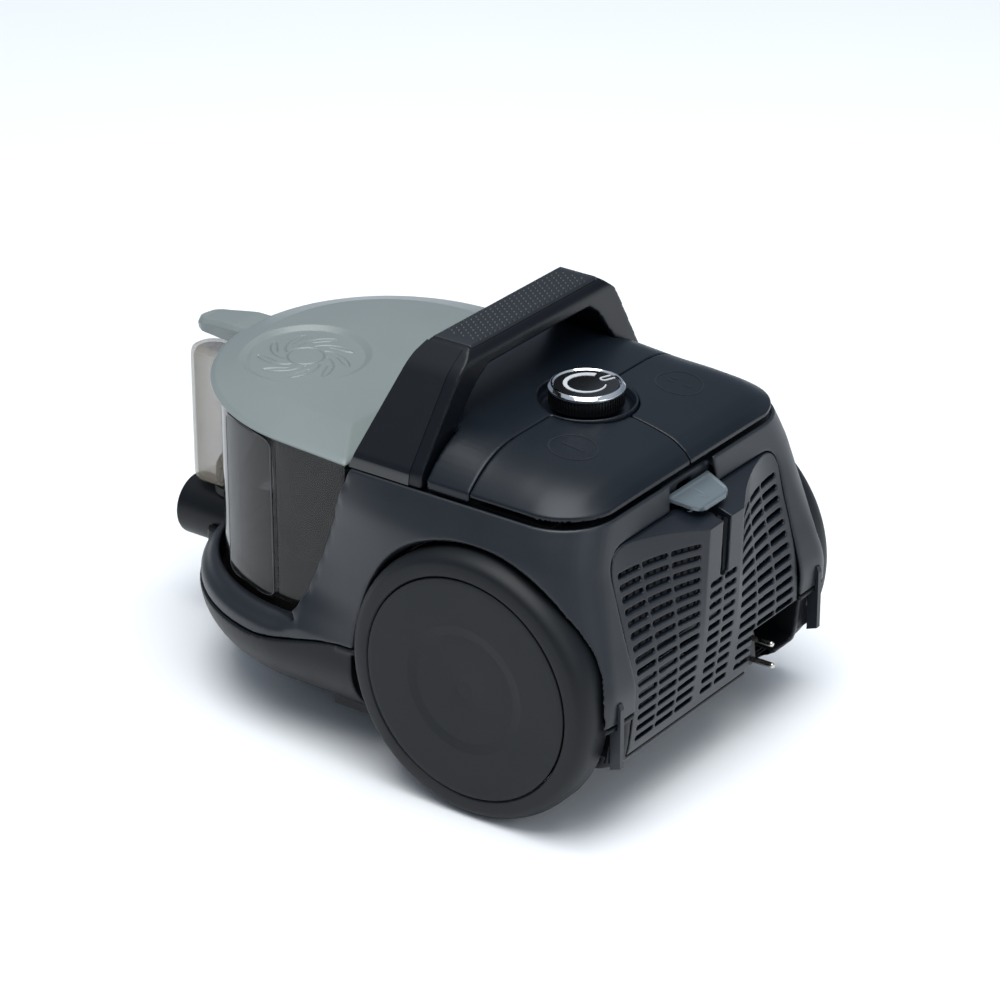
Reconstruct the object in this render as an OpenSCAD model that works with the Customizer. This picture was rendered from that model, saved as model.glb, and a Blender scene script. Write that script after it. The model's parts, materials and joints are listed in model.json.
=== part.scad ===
/* [Overall] */
// Height of the rear wheel axle above the floor
axle_z = 94; // [90:1:98]
// Position of the rear wheel axle along the length
axle_y = 122; // [120:1:124]
// Height of the joint between base tray and upper body
split_z = 88; // [86:1:90]
// Wall thickness of the moulded casings
wall = 3; // [2.4:0.2:3.6]
// Gap kept between a moving piece and its neighbours
gap = 0.6; // [0.4:0.1:1]

/* [Wheels] */
// Outer radius of the rear tyre
tyre_r = 94; // [90:1:94]
// Radius of the groove between hub disc and tyre
hub_r = 78; // [74:1:80]
// Distance from the middle plane to the hub's outer face
wheel_face_x = 150; // [148:0.5:152]
// Width of the tyre tread
tread_w = 30; // [26:1:30]
// Radius of the stub axle
stub_r = 6; // [5:0.5:7]
// Radial clearance between wheel and stub axle
running = 0.06; // [0.03:0.01:0.1]
// Radius of the front caster wheel
caster_r = 14; // [12:0.5:15]
// Position of the caster swivel along the length
caster_y = -104; // [-110:1:-100]

/* [Bin] */
// Half width of the dust bin
bin_hw = 116; // [112:0.5:117]
// Front reach of the bin from its round centre
bin_front = 121; // [118:1:122]
// Place of the centre of the bin's round front
bin_cy = -42; // [-44:1:-40]
// Rear wall of the bin
bin_rear = 6; // [2:1:7]
// Underside of the bin
bin_z0 = 74; // [72:1:78]
// Top edge of the bin shell
bin_z1 = 214; // [210:1:216]
// Half width of the lid rim
lid_hw = 127; // [124:1:128]
// Front reach of the lid rim from the same centre
lid_front = 124; // [123:1:126]
// Rise of the lid dome above its rim
lid_rise = 14; // [10:1:16]
// Centre of the round recess in the lid
swirl_at = [20, -98];
// Radius of the round recess in the lid
swirl_r = 44; // [40:1:46]

/* [Inlet] */
// Radius of the hose bore
hose_r = 17.5; // [16:0.5:19]
// Outer radius of the inlet tube
inlet_r = 22.5; // [22:0.5:24]
// Height of the hose bore's axis
inlet_z = 71; // [70:0.5:73]
// Mouth of the inlet tube
mouth_y = -224; // [-226:1:-222]
// Depth of the hose bore
hose_depth = 24; // [20:1:25]

/* [Handle] */
// Height of the grip's top face
grip_z = 294; // [288:1:298]
// Half width of the handle at the grip
grip_hw = 82; // [76:1:86]
// Half width of the handle at its feet
foot_hw = 125; // [122:1:126]
// Thickness of the grip
grip_t = 15; // [12:1:18]

/* [Controls] */
// Centre of the suction knob along the length
knob_y = 113; // [111:1:115]
// Radius of the suction knob
knob_r = 25.5; // [24:0.5:27]
// Height of the knob's top face
knob_z = 253; // [250:1:255]
// Line where the pedals meet the fixed deck
pedal_y = 109; // [107:1:111]
// Distance from the middle plane to the middle of each pedal
mark_x = 61; // [58:1:64]

/* [Rear grille] */
// Half width of the grille cover
grille_hw = 98; // [94:1:100]
// Lower edge of the grille cover
grille_z0 = 54; // [52:1:58]
// Upper edge of the grille cover
grille_z1 = 194; // [190:1:196]
// Half width of the middle spine
spine_hw = 20; // [18:1:22]
// Height of one air slot
slot_h = 3.4; // [3:0.2:4]
// Spacing of the slot rows
slot_pitch = 8; // [7.5:0.5:9]

/* [Hidden] */

EDGE_N = 32;
port_r = 13;
port_y = -185;
hinge_y = pedal_y + 10;
hinge_z = 226;
motor_z = 104;
cup_r = 34;
lever_pin_y = -158;
lever_pin_z = 218;
lid_pin_y = 9;
lid_pin_z = 211;
cyclone_y = -60;
outlet_z = 140;
filter_z = 124;
filter_r = 35;
frame_top = 211.4;
ledge_top = 209.4;
grille_shelf = 186;
screw_x = 90;
reel_y = 90;

// Casing tables: height against half width, rear face and rear corner radius
body_w = [[split_z, 139], [120, 140], [165, 140], [186, 138], [200, 133], [213, 127], [221, 125]];
body_rear = [[split_z, 221], [105, 221.5], [120, 218], [140, 212], [165, 205], [185, 200],
    [213, 196], [221, 196]];
body_corner = [[split_z, 16], [120, 22], [165, 34], [213, 40], [221, 40]];
body_taper = [[split_z, 2], [100, 8], [120, 18], [169, 24], [200, 8], [213, 0], [221, 0]];
taper_start = 90;
taper_length = 114;
body_top = 213;
deck_edge_z = 220;

// Slanted front edge of the upper body, low and high end in the side view
cheek_low = [-34, split_z];
cheek_high = [16, 214];

// Base bowl: height against radius
bowl_r = [[26, 96], [34, 114], [48, 129], [66, 137], [split_z, 137]];
chassis_hw = 113;
chassis_front = 18;
base_floor = 26;

// Rear face of the grille: outer edge and spine, height against depth
grille_edge = [[50, 213], [60, 216], [90, 219], [115, 217], [140, 211], [165, 204], [grille_z1, 198]];
grille_spine = [[50, 214], [80, 218], [110, 221], [150, 222.5], [190, 224], [grille_z1, 224]];

// Deck crown in the side view: position against height
deck_crown = [[16, 238], [26, 245], [40, 249], [80, 245], [113, 241], [145, 239], [178, 232], [190, 225],
    [194.4, deck_edge_z]];

function smooth(t) = t * t * (3 - 2 * t);
function clamp01(t) = min(1, max(0, t));
function body_x(y, z) = max(bin_hw + wall + gap, lookup(z, body_w)
    - lookup(z, body_taper) * pow(max(0, taper_start - y) / taper_length, 2));
function cheek_y(z) = cheek_low[0]
    + (z - cheek_low[1]) * (cheek_high[0] - cheek_low[0]) / (cheek_high[1] - cheek_low[1]);
function both_sides(half) = concat(half, [for (i = [len(half) - 1:-1:0]) [-half[i][0], half[i][1]]]);
function grille_y(x, z) = let (t = clamp01((grille_hw - abs(x)) / (grille_hw - spine_hw)))
    lookup(z, grille_edge) + (lookup(z, grille_spine) - lookup(z, grille_edge)) * t * t;

// Outline of the upper body at one height, counter-clockwise, drawn in by inset
function body_outline(z, inset, front) = let (
        w = lookup(z, body_w), r = lookup(z, body_rear) - inset,
        c = max(4, lookup(z, body_corner) - inset),
        side = [for (y = [front, 30, 60, 90]) [body_x(y, z) - inset, y]],
        corner = [for (a = [0:15:90]) [w - inset - c + c * cos(a), r - c + c * sin(a)]])
    both_sides(concat(side, corner));

function at_height(outline, z) = [for (p = outline) [p[0], p[1], z]];

module loft(rings) {
    n = len(rings[0]);
    m = len(rings);
    sides = [for (j = [0:m - 2]) for (i = [0:n - 1]) let (k = (i + 1) % n)
        each [[j * n + i, (j + 1) * n + k, j * n + k], [j * n + i, (j + 1) * n + i, (j + 1) * n + k]]];
    polyhedron([for (r = rings) each r],
        concat(sides, [[for (i = [0:n - 1]) i]], [[for (i = [n - 1:-1:0]) (m - 1) * n + i]]));
}

// Joins everything under it into one closed mesh
module one_mesh() {
    resize([0, 0, 0]) children();
}

module along_x(from, to) {
    translate([from, 0, 0]) rotate([90, 0, 90]) linear_extrude(to - from) children();
}

module along_y(from, to) {
    translate([0, from, 0]) rotate([90, 0, 0]) mirror([0, 0, 1]) linear_extrude(to - from) children();
}

module rod_x(r, from, to, y, z) {
    translate([from, y, z]) rotate([0, 90, 0]) cylinder(r = r, h = to - from, $fn = EDGE_N);
}

module rod_y(r, from, to, x, z) {
    translate([x, from, z]) rotate([-90, 0, 0]) cylinder(r = r, h = to - from, $fn = EDGE_N);
}

module rod_z(r, from, to, x, y) {
    translate([x, y, from]) cylinder(r = r, h = to - from, $fn = EDGE_N);
}

module box(low, high) {
    translate(low) cube(high - low);
}

module left_and_right() {
    children();
    mirror([1, 0, 0]) children();
}

// ---------- casings ----------
body_levels = [split_z, 96, 105, 120, 140, 165, 186, 200, body_top];

module body_solid(inset, bottom, top) {
    inner = [for (z = body_levels) if (z > bottom && z < top) z];
    loft([for (z = concat([bottom], inner, [top]))
        at_height(body_outline(max(split_z, min(body_top, z)), inset, -40), z)]);
}

module cheek_cut() {
    along_x(-200, 200)
        polygon([[-120, split_z - 1], [cheek_y(split_z - 1), split_z - 1],
            [cheek_y(body_top + 1), body_top + 1], [-120, body_top + 1]]);
}

module grille_opening() {
    side = grille_hw + gap;
    along_y(180, 240) polygon([[-side, 0], [side, 0], [side, grille_z1 - 10],
        [grille_hw - 9, grille_z1 + gap], [9 - grille_hw, grille_z1 + gap], [-side, grille_z1 - 10]]);
}

module upper_body() {
    color([0.17, 0.18, 0.20]) one_mesh() union() {
        difference() {
            body_solid(0, split_z, body_top);
            body_solid(wall, split_z - 1, body_top + 1);
            cheek_cut();
            left_and_right() rod_x(tyre_r + 2.5, 112, 150, axle_y, axle_z);
            grille_opening();
            latch_recess();
        }
        left_and_right() intersection() {
            difference() {
                rod_x(tyre_r + 5, chassis_hw - wall, 138, axle_y, axle_z);
                rod_x(tyre_r + 2.5, chassis_hw + 2, 150, axle_y, axle_z);
                rod_x(stub_r + 0.2, 100, 120, axle_y, axle_z);
            }
            box([100, 0, split_z], [140, 230, body_top]);
            body_solid(1, split_z, body_top);
        }
        difference() {
            body_solid(0.6, 207, ledge_top);
            body_solid(20, 200, 220);
            cheek_cut();
            latch_recess();
        }
        difference() {
            box([-32, 186, grille_z1 + 2], [32, 190, ledge_top]);
            box([-8, 180, 196], [8, 200, 203.4]);
        }
    }
}

module latch_recess() {
    hull() {
        box([-28, 190, grille_z1 - 2], [28, 212, grille_z1 + 2]);
        box([-25, 190, body_top - 4], [25, 212, body_top + 2]);
    }
}

module bowl(inset, bottom) {
    loft([for (row = bowl_r) let (r = row[1] - inset, z = row[0] == base_floor ? bottom : row[0])
        at_height(both_sides(concat(
            [for (a = [-90:10:0]) [max(0.01, r * cos(a)), bin_cy + r * sin(a)]],
            [[r, chassis_front + 4 - inset]])), z)]);
}

module chassis(inset) {
    low = 32 + inset;
    along_x(-chassis_hw + inset, chassis_hw - inset)
        polygon([[chassis_front - 30, base_floor + inset], [60, base_floor + inset],
            [150, low], [205 - inset, 45 + inset], [213 - inset, 50 + inset], [216 - inset, 60],
            [219 - inset, split_z], [219 - inset, split_z + inset], [chassis_front - 30, split_z + inset]]);
}

module nose(inset) {
    hull() {
        rod_y(30 - inset, -192 + inset, -180, 0, inlet_z - 6);
        rod_y(34 - inset, -152, -150, 0, inlet_z - 8);
    }
}

module base_tray() {
    color([0.15, 0.16, 0.18]) one_mesh() difference() {
        union() {
            bowl(0, base_floor);
            intersection() {
                nose(0);
                box([-60, -230, base_floor], [60, 0, split_z]);
            }
            difference() {
                union() {
                    chassis(0);
                    left_and_right() box([chassis_hw - 6, 196, 50], [122, 216, split_z - 4]);
                }
                chassis(wall);
            }
            difference() {
                body_solid(0, split_z - 4, split_z);
                box([wall - chassis_hw, -60, 80], [chassis_hw - wall, 216, 90]);
            }
            intersection() {
                pocket_main(-2);
                chassis(0);
            }
            intersection() {
                screw_places() translate([0, 0, -8]) cylinder(r = 6, h = 60, $fn = EDGE_N);
                chassis(0);
            }
        }
        bin_well();
        intersection() {
            chassis(wall);
            box([-chassis_hw, -20, base_floor + wall], [chassis_hw, chassis_front + 8, split_z + 1]);
        }
        rod_z(23, 0, base_floor + 14, 0, caster_y);
        rod_z(8, 20, 60, 0, caster_y);
        rod_y(inlet_r + 0.12, -230, -150, 0, inlet_z);
        rod_z(inlet_r, inlet_z, split_z + 20, 0, -178);
        left_and_right() rod_x(tyre_r + 2.5, chassis_hw + 2, 150, axle_y, axle_z);
        left_and_right() rod_x(stub_r + 0.2, 90, 120, axle_y, axle_z);
        intersection() {
            grille_opening();
            box([-120, 190, grille_z0 - 1.2], [120, 240, 100]);
        }
        hook_places() box([-1, 202, 50], [31, 211, 60]);
        pocket_main(0);
        box([-80, 176, 20], [-44, 240, 60]);
        screw_places() {
            translate([0, 0, -12]) cylinder(r = 4, h = 20, $fn = EDGE_N);
            cylinder(r = 2, h = 60, $fn = EDGE_N);
        }
    }
}

// Room for the bin inside the bowl
module bin_well() {
    difference() {
        bowl(wall, base_floor + wall);
        box([-140, -180, 0], [140, 10, bin_z0 - 3]);
    }
    difference() {
        bowl(wall + 1, base_floor + wall);
        box([-140, -200, bin_z0 - 5], [140, 60, split_z + 1]);
        rod_z(26, 0, 60, 0, caster_y);
        nose(-2);
    }
    bin_volume(-2, bin_z0 - 1, split_z + 5);
}

// The four screw bosses
module screw_places() {
    left_and_right() for (y = [40, 140])
        translate([screw_x, y, 32]) children();
}

// The two hooks under the grille
module hook_places() {
    for (x = [60, -38])
        translate([x, 0, 0]) children();
}

module pocket_main(inset) {
    box([-101 + inset, 150 + inset, 53 + inset], [-44 - inset, 240, 84 - inset]);
}

module casing_screws() {
    color([0.6, 0.6, 0.62]) screw_places() {
        translate([0, 0, 5]) cylinder(r = 3.5, h = 3, $fn = EDGE_N);
        cylinder(r = 1.8, h = 50, $fn = EDGE_N);
    }
}

module bulkhead() {
    color([0.2, 0.2, 0.22]) difference() {
        union() {
            box([-108, 10, base_floor + wall], [108, 13, 204]);
            left_and_right() box([104, 13, base_floor + wall], [108, 30, 204]);
        }
        rod_y(filter_r + 1, 0, 30, 0, filter_z);
    }
}

// Inner frame that carries the pedals' pin, the knob's switch and the board
module control_frame() {
    color([0.2, 0.2, 0.22]) difference() {
        union() {
            box([-118, 20, ledge_top], [118, 168, frame_top]);
            left_and_right() for (x = [36, 100])
                box([x, hinge_y - 5, frame_top - 1], [x + 4, hinge_y + 5, hinge_z + 3]);
        }
        rod_x(2, -120, 120, hinge_y, hinge_z);
    }
}

// Deck surface height at a point
function deck_z(x, y) = lookup(y, deck_crown)
    - (lookup(y, deck_crown) - deck_edge_z) * pow(clamp01((abs(x) - 70) / 54), 2.4);
function deck_half(y) = 124 - (y > 155 ? 40 - sqrt(max(0, 1600 - pow(y - 155, 2))) : 0);

// Slab of the deck between two cross lines, thin and following the crown
module deck_slab(y0, y1, x0, x1, steps) {
    rings = [for (i = [0:steps]) let (y = y0 + (y1 - y0) * i / steps, h = min(x1, deck_half(y)),
            l = max(x0, -deck_half(y)), n = 12)
        concat([for (k = [0:n]) let (x = l + (h - l) * k / n) [x, y, deck_z(x, y)]],
            [for (k = [n:-1:0]) let (x = l + (h - l) * k / n) [x, y, deck_z(x, y) - 3.4]])];
    loft(rings);
}

// Everything below the deck surface between two cross lines
module deck_block(y0, y1) {
    loft([for (y = [y0, y1]) concat([for (k = [-12:12]) [k * 124 / 12, y, deck_z(k * 124 / 12, y)]],
        [[124, y, 190], [-124, y, 190]])]);
}

module deck_cover() {
    color([0.14, 0.15, 0.17]) one_mesh() difference() {
        union() {
            deck_slab(16, pedal_y - gap, -124, 124, 8);
            intersection() {
                deck_block(16, 19);
                box([-140, 0, 214], [140, 40, 260]);
            }
            rod_z(cup_r, 229, 242, 0, knob_y);
        }
        rod_z(cup_r - wall, 236, 260, 0, knob_y);
        rod_z(4.2, 200, 260, 0, knob_y);
        left_and_right() along_y(12, 75.4)
            polygon([[90.4, 200], [92.4, 238], [80, 252], [130, 252], [130, 200]]);
    }
}

module pedal(side) {
    one_mesh() difference() {
        mirror([side < 0 ? 1 : 0, 0, 0]) deck_slab(pedal_y, 194.4, gap / 2, 124, 12);
        rod_z(cup_r + gap, 200, 260, 0, knob_y);
    }
    mirror([side < 0 ? 1 : 0, 0, 0]) difference() {
        for (x = [48, 84])
            box([x, hinge_y - 5, 221], [x + 5, hinge_y + 5, deck_z(x + 5, hinge_y) - 3]);
        rod_x(2 + running, 40, 100, hinge_y, hinge_z);
    }
}

module power_pedal() {
    color([0.14, 0.15, 0.17]) pedal(1);
}

module cord_pedal() {
    color([0.14, 0.15, 0.17]) pedal(-1);
}

// ---------- handle ----------
module handle_arch(inset) {
    opening_top = grip_z - grip_t - 2;
    difference() {
        polygon(both_sides([[foot_hw - inset, body_top], [foot_hw - inset, 222],
            [grip_hw + 6 - inset, grip_z - 14], [grip_hw - inset, grip_z - 4 - inset], [grip_hw - 12, grip_z - inset]]));
        polygon(both_sides([[foot_hw - 34, 200], [foot_hw - 32, 238], [grip_hw - 16, opening_top - 10],
            [grip_hw - 24, opening_top]]));
    }
}

module handle_side(inset) {
    polygon([[14 + inset, body_top], [18 + inset, 222], [37 + inset, grip_z - 8], [42 + inset, grip_z - 1],
        [70 - inset, grip_z - 2], [76 - inset, grip_z - 8], [72 - inset, 222], [72 - inset, body_top]]);
}

module carry_handle() {
    color([0.13, 0.13, 0.15]) union() {
        intersection() {
            along_y(0, 100) handle_arch(0);
            along_x(-140, 140) handle_side(0);
            difference() {
                box([-150, 0, 200], [150, 100, 320]);
                box([-grip_hw + 14, 40, grip_z - 3], [grip_hw - 14, 70, grip_z + 5]);
            }
        }
        left_and_right() box([94, 22, frame_top], [116, 66, 216]);
    }
}

module grip_insert() {
    color([0.16, 0.17, 0.19]) box([-grip_hw + 14.2, 40.2, grip_z - 2.9], [grip_hw - 14.2, 69.8, grip_z]);
}

module handle_trims() {
    color([0.03, 0.03, 0.05]) left_and_right() one_mesh() intersection() {
        difference() {
            along_y(10, 40) handle_arch(-0.8);
            along_x(-140, 140) handle_side(-0.03);
        }
        along_x(0, 140) handle_side(-1.2);
        box([60, 0, 222], [140, 60, grip_z - 14]);
    }
}

// ---------- inlet ----------
module inlet_tube() {
    color([0.08, 0.08, 0.09]) difference() {
        rod_y(inlet_r, mouth_y, -168, 0, inlet_z);
        rod_y(hose_r, mouth_y - 1, mouth_y + hose_depth, 0, inlet_z);
        rod_y(hose_r - 1.5, mouth_y, -171, 0, inlet_z);
        rod_z(port_r, inlet_z, inlet_z + 40, 0, port_y);
    }
}

module inlet_seal() {
    color([0.1, 0.1, 0.1]) difference() {
        rod_z(port_r + 2.6, inlet_z + inlet_r - 2, 97, 0, port_y);
        rod_z(port_r, 90, 100, 0, port_y);
        rod_y(inlet_r, -230, -150, 0, inlet_z);
    }
}

module stand_ribs() {
    color([0.12, 0.13, 0.15]) left_and_right()
        along_x(116, 120) polygon([[216, 54], [224, 57], [224, 99], [222.5, 103], [221.6, 103],
            [221.6, split_z - 4], [216, split_z - 4]]);
}

module stub_axles() {
    color([0.6, 0.6, 0.62]) left_and_right() {
        rod_x(stub_r, 105, wheel_face_x - 9, axle_y, axle_z);
        rod_x(stub_r + 4, 104, chassis_hw - wall, axle_y, axle_z);
    }
}

module axle_collars() {
    color([0.3, 0.3, 0.32]) left_and_right() difference() {
        rod_x(stub_r + 3, wheel_face_x - 29, wheel_face_x - 27, axle_y, axle_z);
        rod_x(stub_r, wheel_face_x - 40, wheel_face_x - 20, axle_y, axle_z);
    }
}

// ---------- wheels ----------
module hub() {
    difference() {
        union() {
            rod_x(hub_r, wheel_face_x - 5, wheel_face_x - 1.6, axle_y, axle_z);
            rod_x(hub_r / 2, wheel_face_x - 2, wheel_face_x - 1, axle_y, axle_z);
            rod_x(stub_r + 5, wheel_face_x - 26, wheel_face_x - 4, axle_y, axle_z);
            for (a = [0:60:300])
                translate([0, axle_y, axle_z]) rotate([a, 0, 0])
                    box([wheel_face_x - 14, stub_r + 3, -1.2], [wheel_face_x - 4, hub_r - 12, 1.2]);
        }
        rod_x(stub_r + running, wheel_face_x - 30, wheel_face_x - 8, axle_y, axle_z);
    }
}

module tyre() {
    x1 = wheel_face_x - 1;
    x0 = wheel_face_x - tread_w;
    translate([0, axle_y, axle_z]) rotate([90, 0, 90]) rotate_extrude($fn = 96)
        polygon([[hub_r, x0 + 2], [tyre_r - 3, x0], [tyre_r, x0 + 3], [tyre_r, x1 - 14],
            [tyre_r - 1, x1 - 10], [tyre_r - 4, x1 - 6], [tyre_r - 9, x1 - 2.4], [hub_r + 1, x1 - 0.6],
            [hub_r, x1 - 1.5]]);
}

module hub_left() {
    color([0.16, 0.17, 0.18]) hub();
}

module tyre_left() {
    color([0.1, 0.1, 0.11]) tyre();
}

module hub_right() {
    mirror([1, 0, 0]) hub_left();
}

module tyre_right() {
    mirror([1, 0, 0]) tyre_left();
}

module caster_bush() {
    color([0.5, 0.5, 0.52]) difference() {
        rod_z(7.6, base_floor + 15, 60, 0, caster_y);
        rod_z(4 + running, 20, 70, 0, caster_y);
    }
}

module caster_fork() {
    color([0.12, 0.12, 0.13]) difference() {
        union() {
            rod_z(18, base_floor + 8, base_floor + 12, 0, caster_y);
            rod_z(4, base_floor + 12, base_floor + 30, 0, caster_y);
            left_and_right() box([10, caster_y + 2, 8], [14, caster_y + 16, base_floor + 9]);
        }
        rod_x(1.5, -20, 20, caster_y + 9, caster_r);
    }
}

module caster_axle() {
    color([0.7, 0.7, 0.72]) rod_x(1.5, -13.5, 13.5, caster_y + 9, caster_r);
}

module caster_wheel() {
    color([0.1, 0.1, 0.11]) difference() {
        translate([-9, caster_y + 9, caster_r]) rotate([90, 0, 90]) rotate_extrude($fn = 64)
            polygon([[1, 0], [caster_r - 3, 0], [caster_r, 3], [caster_r, 15], [caster_r - 3, 18], [1, 18]]);
        rod_x(1.5 + running, -20, 20, caster_y + 9, caster_r);
    }
}

// ---------- bin ----------
module bin_shape(grow) {
    polygon(both_sides(concat(
        [for (a = [-90:7.5:0]) [max(0.01, (bin_hw + grow) * cos(a)), bin_cy + (bin_front + grow) * sin(a)]],
        [[bin_hw + grow, bin_rear + grow - 8], [bin_hw + grow - 8, bin_rear + grow]])));
}

module bin_volume(shrink, z0, z1) {
    translate([0, 0, z0]) linear_extrude(z1 - z0) bin_shape(-shrink);
}

module bin_shell() {
    color([0.35, 0.33, 0.31, 0.45]) union() {
        one_mesh() difference() {
            bin_volume(0, bin_z0, bin_z1);
            bin_volume(wall - 0.4, bin_z0 + wall, bin_z1 + 1);
            rod_y(port_r, -180, -150, 0, 180);
            rod_y(17, 0, 12, 0, outlet_z);
        }
        left_and_right() difference() {
            union() {
                rod_x(2.6, 42, 52, lid_pin_y, lid_pin_z);
                box([42, bin_rear - 1.6, lid_pin_z - 2.6], [52, lid_pin_y, lid_pin_z + 2.4]);
            }
            rod_x(1.5, 40, 60, lid_pin_y, lid_pin_z);
        }
    }
}

module lid_seal() {
    color([0.08, 0.08, 0.08]) difference() {
        bin_volume(wall - 0.35, bin_z1 - 5, bin_z1 - 0.4);
        bin_volume(5.4, bin_z0, bin_z1 + 4);
    }
}

module duct_shape(grow) {
    hull() {
        translate([0, -203]) circle(16 + grow, $fn = EDGE_N);
        translate([-16 - grow, -172]) square([32 + 2 * grow, 6]);
    }
}

module inlet_duct() {
    color([0.6, 0.57, 0.52, 0.5]) one_mesh() difference() {
        union() {
            translate([0, 0, 97.4]) linear_extrude(100) duct_shape(0);
            box([-16, -167, 160], [16, -163.2, 197.4]);
        }
        translate([0, 0, 99.4]) linear_extrude(95.2) duct_shape(-2);
        rod_z(port_r, 90, 110, 0, port_y);
        rod_y(port_r, -180, -150, 0, 180);
    }
}

module shroud() {
    color([0.12, 0.12, 0.13]) difference() {
        union() {
            rod_z(46, 140, 205, 0, cyclone_y);
            bin_volume(wall, 205, 208);
            rod_y(20, cyclone_y + 40, bin_rear - wall, 0, outlet_z);
        }
        rod_z(43, 139, 202, 0, cyclone_y);
        rod_y(17, cyclone_y + 42.5, bin_rear, 0, outlet_z);
        translate([0, cyclone_y, 0]) for (a = [-150:15:-30])
            rotate([0, 0, a]) box([40, -3, 148], [50, 3, 196]);
    }
}

module cyclone_cone() {
    color([0.25, 0.24, 0.24]) translate([0, cyclone_y, 0]) rotate_extrude($fn = 48)
        polygon([[12, bin_z0 + wall], [15, bin_z0 + wall], [38, 139], [42, 139], [42, 202], [39, 202],
            [39, 141], [35, 141]]);
}

// ---------- lid ----------
lid_heart = [0, -64];
lid_steps = [0, 0.03, 0.08, 0.14, 0.22, 0.32, 0.42, 0.54, 0.68, 0.84, 0.97];

function lid_outline() = both_sides(concat(
    [for (a = [-90:6:0]) [max(0.01, lid_hw * cos(a)), bin_cy + lid_front * sin(a)]],
    [[lid_hw, -20], [lid_hw, 12], [80, 12], [30, 12]]));

function rim_z(y) = 214.6 + (12 - y) * 0.05;

// Height of the lid's outer surface, at a share of the way from rim to heart
function lid_z(p, share) = let (d = norm([p[0] - swirl_at[0], p[1] - swirl_at[1]]))
    rim_z(p[1]) + 2 * clamp01(share / 0.03)
    + (lid_rise - 2) * (1 - pow(1 - clamp01((share - 0.03) / 0.5), 2.2))
    - 2.6 * smooth(clamp01((swirl_r - d) / 7));

function lid_ring(share, drop) = [for (r = lid_outline())
    let (p = [r[0] + (lid_heart[0] - r[0]) * share, r[1] + (lid_heart[1] - r[1]) * share])
    [p[0], p[1], lid_z(p, share) - drop]];

module bin_lid() {
    color([0.56, 0.59, 0.57]) union() {
        one_mesh() difference() {
            loft(concat([lid_ring(0, 0.6)], [for (t = lid_steps) lid_ring(t, 0)]));
            loft(concat([lid_ring(0.02, 8)], [for (t = lid_steps) if (t > 0) lid_ring(t, 2.6)]));
        }
        left_and_right() difference() {
            box([30, 6.8, lid_pin_z - 2], [40, 11.4, lid_pin_z + 4]);
            rod_x(1.5 + running, 20, 50, lid_pin_y, lid_pin_z);
        }
        left_and_right() difference() {
            box([17.6, lever_pin_y - 2.4, lever_pin_z - 3], [21.6, lever_pin_y + 3, lever_pin_z + 7.8]);
            rod_x(2, 10, 30, lever_pin_y, lever_pin_z);
        }
    }
}

module lid_pin() {
    color([0.7, 0.7, 0.72]) rod_x(1.5, -52, 52, lid_pin_y, lid_pin_z);
}

module lid_lever() {
    color([0.54, 0.57, 0.55]) difference() {
        union() {
            hull() {
                box([-17, -170, 213], [17, -168, 224]);
                box([-11, -172, 222], [11, -168, 226]);
                rod_z(13, 212, 219, 0, -199);
                rod_z(9, 212, 221, 0, -202);
            }
            box([-16.8, -172, 214.8], [16.8, lever_pin_y + 3.4, lever_pin_z + 3.4]);
        }
        rod_x(2 + running, -30, 30, lever_pin_y, lever_pin_z);
    }
}

module lever_pin() {
    color([0.7, 0.7, 0.72]) rod_x(2, -21.6, 21.6, lever_pin_y, lever_pin_z);
}

module spring(x, y, z0, z1, r, wire) {
    difference() {
        rod_z(r, z0, z1, x, y);
        rod_z(r - wire, z0 - 1, z1 + 1, x, y);
    }
}

module lever_spring() {
    color([0.7, 0.7, 0.72]) spring(0, port_y, 197.4, 208.6, 4, 1);
}

// ---------- controls ----------
module pedal_pin() {
    color([0.7, 0.7, 0.72]) rod_x(2, -104, 104, hinge_y, hinge_z);
}

module pedal_springs() {
    color([0.7, 0.7, 0.72]) left_and_right() spring(mark_x, 160, frame_top, 229.4, 5, 1);
}

module knob_body() {
    color([0.05, 0.05, 0.06]) difference() {
        union() {
            rod_z(knob_r - 1, 238.4, knob_z - 4, 0, knob_y);
            for (a = [0:6:354])
                translate([0, knob_y, 0]) rotate([0, 0, a])
                    box([knob_r - 1.4, -0.6, 239], [knob_r, 0.6, knob_z - 5]);
            rod_z(knob_r - 4, 240, knob_z - 0.6, 0, knob_y);
        }
        rod_z(3 + running, 230, 246, 0, knob_y);
    }
}

module knob_ring() {
    color([0.85, 0.85, 0.87]) translate([0, knob_y, 0]) rotate_extrude($fn = 96)
        polygon([[knob_r - 4, knob_z - 4], [knob_r, knob_z - 4], [knob_r, knob_z - 2], [knob_r - 2, knob_z],
            [knob_r - 4, knob_z - 0.6]]);
}

module knob_pointer() {
    color([0.85, 0.85, 0.87]) translate([0, knob_y, knob_z - 0.6]) {
        rotate([0, 0, 40]) rotate_extrude(angle = 230, $fn = 96) translate([12, 0]) square([4.5, 0.5]);
        rotate([0, 0, -20]) box([10, -3, 0], [19, 3, 0.5]);
    }
}

module knob_switch() {
    color([0.2, 0.3, 0.25]) union() {
        rod_z(3, 222, 245.6, 0, knob_y);
        box([-12, knob_y - 12, frame_top], [12, knob_y + 12, 223]);
    }
}

// ---------- rear grille ----------
module grille_solid(back, low, high, side) {
    cols = [for (i = [-9:9]) sign(i) * (abs(i) <= 2 ? abs(i) * spine_hw / 2
        : spine_hw + (abs(i) - 2) * (side - spine_hw) / 7)];
    loft([for (z = concat([low], [for (h = [70:20:170]) h], [high]))
        concat([for (x = cols) [x, 187, z]],
            [for (i = [len(cols) - 1:-1:0]) [cols[i], grille_y(cols[i], z) - back, z]])]);
}

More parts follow.
